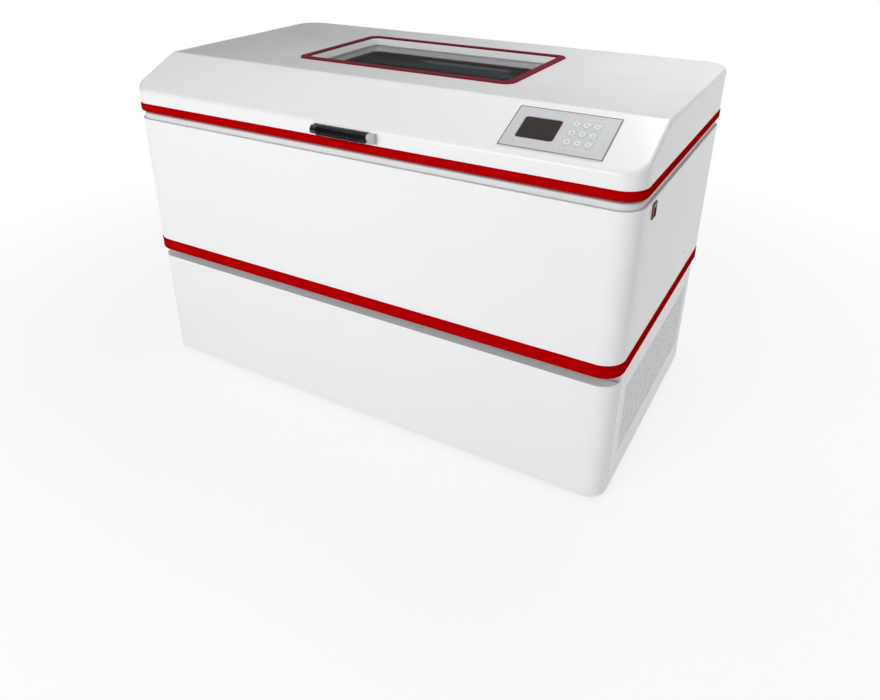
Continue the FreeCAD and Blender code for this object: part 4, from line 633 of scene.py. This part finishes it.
def make_materials():
    return {
        "white": white_paint(),
        "frame": grey_frame_paint(),
        "machine": machine_paint(),
        "foil": control_panel_foil(),
        "band": red_band(),
        "window_red": red_window_frame(),
        "rim": moulded("rim_plastic", RIM_GREY),
        "liner": moulded("liner_plastic", LINER_GREY, smooth=0.3, matt=0.42),
        "black": moulded("black_plastic", BLACK_PLASTIC, smooth=0.35, matt=0.5, worn=0.5),
        "holder": moulded("holder_plastic", RIM_GREY, smooth=0.3, matt=0.4),
        "lacquer": lacquered_black(),
        "stainless": sheet_stainless(),
        "polished": polished_metal(),
        "latch": latch_metal(),
        "steel": turned_steel(),
        "aluminium": raw_aluminium(),
        "rubber": plain_rubber(),
        "batt": insulation_batt(),
        "board": circuit_board(),
        "display": display_glass(),
        "key": key_plastic(),
        "glass": window_glass(),
        "lamp": lamp_glass(),
        "rocker": rocker_plastic(),
        "red_ink": ink("panel_line_ink", PANEL_LINE_RED),
        "grey_ink": ink("legend_ink", LEGEND_GREY),
        "pale_ink": ink("keypad_line_ink", KEYPAD_LINE_GREY),
    }


FINISH_OF_NODE = {
    "white": ("base_front_panel", "base_right_panel", "base_left_panel", "base_rear_panel",
              "body_front_panel", "body_wrap_panel", "lid_shell"),
    "frame": ("base_frame",),
    "machine": ("drive_motor", "compressor", "chamber_fan_motor"),
    "foil": ("panel_plate",),
    "band": ("lower_trim_band", "lid_trim_band"),
    "window_red": ("window_trim",),
    "rim": ("rim_frame",),
    "liner": ("lid_liner",),
    "black": ("switch_bezel", "power_inlet", "fan_shroud", "condenser_fan"),
    "holder": ("lamp_holders",),
    "lacquer": ("latch_lever",),
    "stainless": ("chamber_tank", "air_duct_cover", "duct_heater", "temperature_probe"),
    "polished": ("hinge_fixed_leaves", "hinge_lid_leaves"),
    "latch": ("latch_base",),
    "steel": ("latch_pin", "hinge_pins", "drive_mount", "motor_pulley", "drive_spindle",
              "idler_crank_left", "idler_crank_right"),
    "aluminium": ("platform", "condenser_coil", "evaporator_coil", "chamber_fan"),
    "rubber": ("levelling_feet", "rim_gasket", "drive_belt"),
    "batt": ("tank_insulation", "lid_insulation"),
    "board": ("control_board",),
    "display": ("display_window",),
    "key": tuple("key_" + str(number) for number in range(1, KEY_COUNT + 1)),
    "glass": ("window_panes",),
    "lamp": ("lamp_tube",),
    "rocker": ("rocker",),
}


def dress(obj, material):
    obj.data.materials.clear()
    obj.data.materials.append(material)


def dress_nodes(materials):
    for finish, names in FINISH_OF_NODE.items():
        for name in names:
            dress(NODES[name], materials[finish])


# Pieces that carry print and small hardware

def mesh_piece(name, builder, material, body):
    """Builds a mesh, gives it its finish and lets it ride on a body."""
    mesh = bpy.data.meshes.new(name)
    form = bmesh.new()
    builder(form)
    bmesh.ops.recalc_face_normals(form, faces=form.faces)
    form.to_mesh(mesh)
    form.free()
    piece = bpy.data.objects.new(name, mesh)
    bpy.context.scene.collection.objects.link(piece)
    dress(piece, material)
    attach(piece, body)
    return piece


def rounded_outline(centre, size, radius, steps=6):
    """Points round a rectangle with round corners."""
    points = []
    half_x = size[0] / 2 - radius
    half_y = size[1] / 2 - radius
    corners = ((half_x, half_y, 0), (-half_x, half_y, 90),
               (-half_x, -half_y, 180), (half_x, -half_y, 270))
    for x, y, start in corners:
        for step in range(steps + 1):
            angle = math.radians(start + 90.0 * step / steps)
            points.append((centre[0] + x + radius * math.cos(angle),
                           centre[1] + y + radius * math.sin(angle)))
    return points


def add_ring(form, outer, inner, low, high, placing):
    """Closed band between two outlines with as many points each, between two heights."""
    count = len(outer)
    loops = []
    for outline, height in ((outer, low), (outer, high), (inner, high), (inner, low)):
        loops.append([form.verts.new(placing @ Vector((x, y, height))) for x, y in outline])
    for index in range(4):
        first, second = loops[index], loops[(index + 1) % 4]
        for spot in range(count):
            after = (spot + 1) % count
            form.faces.new((first[spot], first[after], second[after], second[spot]))


def add_plate(form, outline, low, high, placing):
    """Closed plate inside an outline, between two heights."""
    bottom = [form.verts.new(placing @ Vector((x, y, low))) for x, y in outline]
    top = [form.verts.new(placing @ Vector((x, y, high))) for x, y in outline]
    form.faces.new(bottom)
    form.faces.new(top)
    for spot in range(len(outline)):
        after = (spot + 1) % len(outline)
        form.faces.new((bottom[spot], bottom[after], top[after], top[spot]))


def printed_frame(name, centre, size, width, radius, material):
    """Thin printed line round a rectangle on the control panel."""
    def build(form):
        outer = rounded_outline(centre, size, radius)
        inner_size = (size[0] - 2 * width, size[1] - 2 * width)
        inner = rounded_outline(centre, inner_size, max(radius - width, SMALLEST_RADIUS))
        add_ring(form, outer, inner, PANEL_FACE, PANEL_FACE + INK, ON_SLOPE)
    mesh_piece(name, build, material, "lid")


def panel_print(materials):
    """Printed lines round the panel, the display and the keys."""
    centre = (PANEL_X, PANEL_S)
    display = (PANEL_X + DISPLAY_OFFSET[0], PANEL_S + DISPLAY_OFFSET[1])
    keypad = (PANEL_X + KEYPAD_OFFSET[0], PANEL_S + KEYPAD_OFFSET[1])
    display_frame = (DISPLAY_SIZE[0] + 2 * DISPLAY_LINE_WIDTH,
                     DISPLAY_SIZE[1] + 2 * DISPLAY_LINE_WIDTH)
    printed_frame("panel_border", centre, PANEL_SIZE, PANEL_LINE_WIDTH, PANEL_LINE_RADIUS,
                  materials["red_ink"])
    printed_frame("display_border", display, display_frame, DISPLAY_LINE_WIDTH,
                  DISPLAY_RADIUS + DISPLAY_LINE_WIDTH, materials["red_ink"])
    printed_frame("keypad_border", keypad, KEYPAD_LINE_SIZE, KEYPAD_LINE_WIDTH,
                  KEYPAD_LINE_RADIUS, materials["pale_ink"])


def key_centre(number):
    """Middle of a key on the slope; key 1 is at the top left."""
    row, column = divmod(number - 1, 3)
    return (PANEL_X + KEYPAD_OFFSET[0] + (column - 1) * KEY_PITCH[0],
            PANEL_S + KEYPAD_OFFSET[1] - (row - 1) * KEY_PITCH[1])


def key_mark(number, materials):
    """Small printed arrow head on the face of a key."""
    x, s = key_centre(number)
    turn = KEY_MARK_TURNS[number - 1]

    def build(form):
        outline = []
        for corner in (0, 120, 240):
            angle = math.radians(turn + corner)
            outline.append((x + KEY_MARK_SIZE * math.cos(angle),
                            s + KEY_MARK_SIZE * math.sin(angle)))
        add_plate(form, outline, KEY_FACE, KEY_FACE + INK / 2, ON_SLOPE)
    mesh_piece("key_mark_" + str(number), build, materials["grey_ink"],
               "key_" + str(number))


def key_numeral(number, materials):
    """Plain figure printed under a key."""
    x, s = key_centre(number)
    curve = bpy.data.curves.new("key_numeral_" + str(number), "FONT")
    curve.body = str(number)
    curve.size = NUMERAL_SIZE
    curve.align_x = "CENTER"
    curve.extrude = INK / 2
    piece = bpy.data.objects.new("key_numeral_" + str(number), curve)
    bpy.context.scene.collection.objects.link(piece)
    piece.matrix_world = ON_SLOPE @ Matrix.Translation((x, s - NUMERAL_DROP, PANEL_FACE + INK / 2))
    piece.data.materials.append(materials["grey_ink"])
    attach(piece, "lid")


def add_dome(form, centre, radius, height, placing, rings=5, steps=24):
    """Low dome on a flat face."""
    loops = []
    for ring in range(rings):
        lift = math.radians(90.0 * ring / rings)
        loops.append([form.verts.new(placing @ Vector((
            centre[0] + radius * math.cos(lift) * math.cos(math.tau * step / steps),
            centre[1] + radius * math.cos(lift) * math.sin(math.tau * step / steps),
            centre[2] + height * math.sin(lift)))) for step in range(steps)])
    crown = form.verts.new(placing @ Vector((centre[0], centre[1], centre[2] + height)))
    for first, second in zip(loops, loops[1:]):
        for step in range(steps):
            after = (step + 1) % steps
            form.faces.new((first[step], first[after], second[after], second[step]))
    for step in range(steps):
        form.faces.new((loops[-1][step], loops[-1][(step + 1) % steps], crown))
    form.faces.new(loops[0])


def status_dot(materials):
    """Small black dome near the lower left corner of the panel."""
    def build(form):
        centre = (PANEL_X + STATUS_DOT_OFFSET[0], PANEL_S + STATUS_DOT_OFFSET[1], PANEL_FACE)
        add_dome(form, centre, STATUS_DOT_RADIUS, STATUS_DOT_RADIUS / 2, ON_SLOPE)
    mesh_piece("status_dot", build, materials["lacquer"], "lid")


def screw_head(name, x, z, materials):
    """Low domed head with a black cross for its recess, on the rear panel."""
    facing = Matrix.Translation((x, SCREW_FACE_Y, z)) @ Matrix.Rotation(-math.pi / 2, 4, "X")

    def build(form):
        add_dome(form, (0.0, 0.0, 0.0), SCREW_RADIUS, SCREW_HEIGHT, facing)

    def build_cross(form):
        arm = SCREW_RADIUS * CROSS_ARM
        thin = SCREW_RADIUS * CROSS_HALF_WIDTH
        for long_x, long_y in ((arm, thin), (thin, arm)):
            outline = ((-long_x, -long_y), (long_x, -long_y), (long_x, long_y), (-long_x, long_y))
            add_plate(form, outline, SCREW_HEIGHT * CROSS_FOOT, SCREW_HEIGHT * CROSS_TOP, facing)

    head = mesh_piece(name, build, materials["polished"], "cabinet")
    for polygon in head.data.polygons:
        polygon.use_smooth = True
    mesh_piece(name + "_recess", build_cross, materials["black"], "cabinet")


def rear_screws(materials):
    """Two rows of screws along the upper and lower edges of the rear panel."""
    for row, z in enumerate(SCREW_ROWS_Z):
        for column in range(SCREW_COLUMNS):
            x = SCREW_SPAN_X * (2.0 * column / (SCREW_COLUMNS - 1) - 1.0)
            screw_head("rear_screw_%d_%d" % (row + 1, column + 1), x, z, materials)


# Room

def make_floor():
    """Large flat sheet of paper under the object."""
    mesh = bpy.data.meshes.new("floor")
    form = bmesh.new()
    corners = [form.verts.new((x, y, 0.0)) for x, y in ((-1, -1), (1, -1), (1, 1), (-1, 1))]
    form.faces.new(corners)
    bmesh.ops.scale(form, vec=(FLOOR_REACH, FLOOR_REACH, 1.0), verts=form.verts)
    form.to_mesh(mesh)
    form.free()
    floor = bpy.data.objects.new("floor", mesh)
    bpy.context.scene.collection.objects.link(floor)
    dress(floor, floor_paper())


def seen_or_mirrored(path):
    """One for rays from the camera, in a mirror or through glass, else zero."""
    tree = path.id_data
    glossy = add_node(tree, "ShaderNodeMath", operation="MAXIMUM")
    clear = add_node(tree, "ShaderNodeMath", operation="MAXIMUM")
    tree.links.new(path.outputs["Is Camera Ray"], glossy.inputs[0])
    tree.links.new(path.outputs["Is Glossy Ray"], glossy.inputs[1])
    tree.links.new(glossy.outputs[0], clear.inputs[0])
    tree.links.new(path.outputs["Is Transmission Ray"], clear.inputs[1])
    return clear.outputs[0]


def outside_footprint(tree, place):
    """Zero on the floor under the base frame, so that the vents look dark, and one outside."""
    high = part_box("base_frame")[1]
    scaled = add_node(tree, "ShaderNodeVectorMath", {1: (1.0 / high[0], 1.0 / high[1], 0.0)},
                      operation="MULTIPLY")
    reach = add_node(tree, "ShaderNodeVectorMath", operation="ABSOLUTE")
    parts = add_node(tree, "ShaderNodeSeparateXYZ")
    widest = add_node(tree, "ShaderNodeMath", operation="MAXIMUM")
    outside = add_node(tree, "ShaderNodeMapRange", {"From Min": FOOTPRINT_FADE})
    link = tree.links.new
    link(place.outputs["Object"], scaled.inputs[0])
    link(scaled.outputs[0], reach.inputs[0])
    link(reach.outputs[0], parts.inputs[0])
    link(parts.outputs["X"], widest.inputs[0])
    link(parts.outputs["Y"], widest.inputs[1])
    link(widest.outputs[0], outside.inputs["Value"])
    return outside.outputs["Result"]


def floor_paper():
    """Pale paper, lifted towards white where it is seen or mirrored, less so near the object."""
    finish = Finish("floor_paper", PAPER_WHITE, roughness=0.9)
    finish.drift(amount=0.01, scale=2.0).set(Specular_IOR_Level=0.1)
    tree = finish.tree
    white = add_node(tree, "ShaderNodeEmission", {"Color": LIGHT_WHITE, "Strength": 1.0})
    place = add_node(tree, "ShaderNodeTexCoord")
    distance = add_node(tree, "ShaderNodeVectorMath", operation="LENGTH")
    lift = add_node(tree, "ShaderNodeMapRange",
                    {"From Min": FLOOR_NEAR, "From Max": FLOOR_FAR, "To Min": FLOOR_LIFT})
    around = add_node(tree, "ShaderNodeMath", operation="MULTIPLY")
    share = add_node(tree, "ShaderNodeMath", operation="MULTIPLY")
    mix = add_node(tree, "ShaderNodeMixShader")
    link = tree.links.new
    link(place.outputs["Object"], distance.inputs[0])
    link(distance.outputs["Value"], lift.inputs["Value"])
    path = add_node(tree, "ShaderNodeLightPath")
    link(seen_or_mirrored(path), share.inputs[0])
    link(lift.outputs["Result"], around.inputs[0])
    link(outside_footprint(tree, place), around.inputs[1])
    link(around.outputs[0], share.inputs[1])
    link(share.outputs[0], mix.inputs["Fac"])
    link(finish.shader.outputs[0], mix.inputs[1])
    link(white.outputs[0], mix.inputs[2])
    link(mix.outputs[0], tree.nodes["Material Output"].inputs["Surface"])
    return finish.material


def make_world():
    """White for the eye, darker near the horizon in mirrors, and softer as a lamp."""
    world = bpy.data.worlds.new("studio")
    bpy.context.scene.world = world
    world.use_nodes = True
    tree = world.node_tree
    tree.nodes.clear()
    path = add_node(tree, "ShaderNodeLightPath")
    facing = add_node(tree, "ShaderNodeTexCoord")
    parts = add_node(tree, "ShaderNodeSeparateXYZ")
    height = add_node(tree, "ShaderNodeMapRange",
                      {"From Min": SKY_LOW, "From Max": SKY_HIGH, "To Min": HORIZON_SHADE})
    level = add_node(tree, "ShaderNodeMath", operation="MAXIMUM")
    seen = add_node(tree, "ShaderNodeBackground")
    lamp = add_node(tree, "ShaderNodeBackground", {"Strength": SKY_LIGHT})
    for light in (seen, lamp):
        light.inputs["Color"].default_value = LIGHT_WHITE
    mix = add_node(tree, "ShaderNodeMixShader")
    out = add_node(tree, "ShaderNodeOutputWorld")
    link = tree.links.new
    link(facing.outputs["Generated"], parts.inputs[0])
    link(parts.outputs["Z"], height.inputs["Value"])
    link(height.outputs["Result"], level.inputs[0])
    link(path.outputs["Is Camera Ray"], level.inputs[1])
    link(level.outputs[0], seen.inputs["Strength"])
    link(seen_or_mirrored(path), mix.inputs["Fac"])
    link(lamp.outputs[0], mix.inputs[1])
    link(seen.outputs[0], mix.inputs[2])
    link(mix.outputs[0], out.inputs["Surface"])


def area_lamp(name, place, target, size, power):
    """Rectangular lamp at a place, pointed at a target and hidden from the camera."""
    light = bpy.data.lights.new(name, "AREA")
    light.shape = "RECTANGLE"
    light.size, light.size_y = size
    light.energy = power
    lamp = bpy.data.objects.new(name, light)
    bpy.context.scene.collection.objects.link(lamp)
    lamp.location = place
    lamp.visible_camera = False
    lamp.rotation_euler = (Vector(target) - Vector(place)).to_track_quat("-Z", "Y").to_euler()


def make_camera():
    """Camera at the photograph's viewing angle."""
    data = bpy.data.cameras.new("photo_camera")
    data.lens = CAMERA_LENS
    data.shift_x, data.shift_y = CAMERA_SHIFT
    camera = bpy.data.objects.new("photo_camera", data)
    bpy.context.scene.collection.objects.link(camera)
    camera.location = CAMERA_PLACE
    camera.rotation_euler = (math.radians(CAMERA_TILT), 0.0, math.radians(CAMERA_TURN))
    bpy.context.scene.camera = camera


def main():
    materials = make_materials()
    dress_nodes(materials)
    panel_print(materials)
    for number in range(1, KEY_COUNT + 1):
        key_mark(number, materials)
        key_numeral(number, materials)
    status_dot(materials)
    rear_screws(materials)
    make_floor()
    make_world()
    for name, settings in LAMPS.items():
        area_lamp(name, *settings)
    make_camera()
    bpy.context.scene.view_settings.view_transform = "Standard"


main()
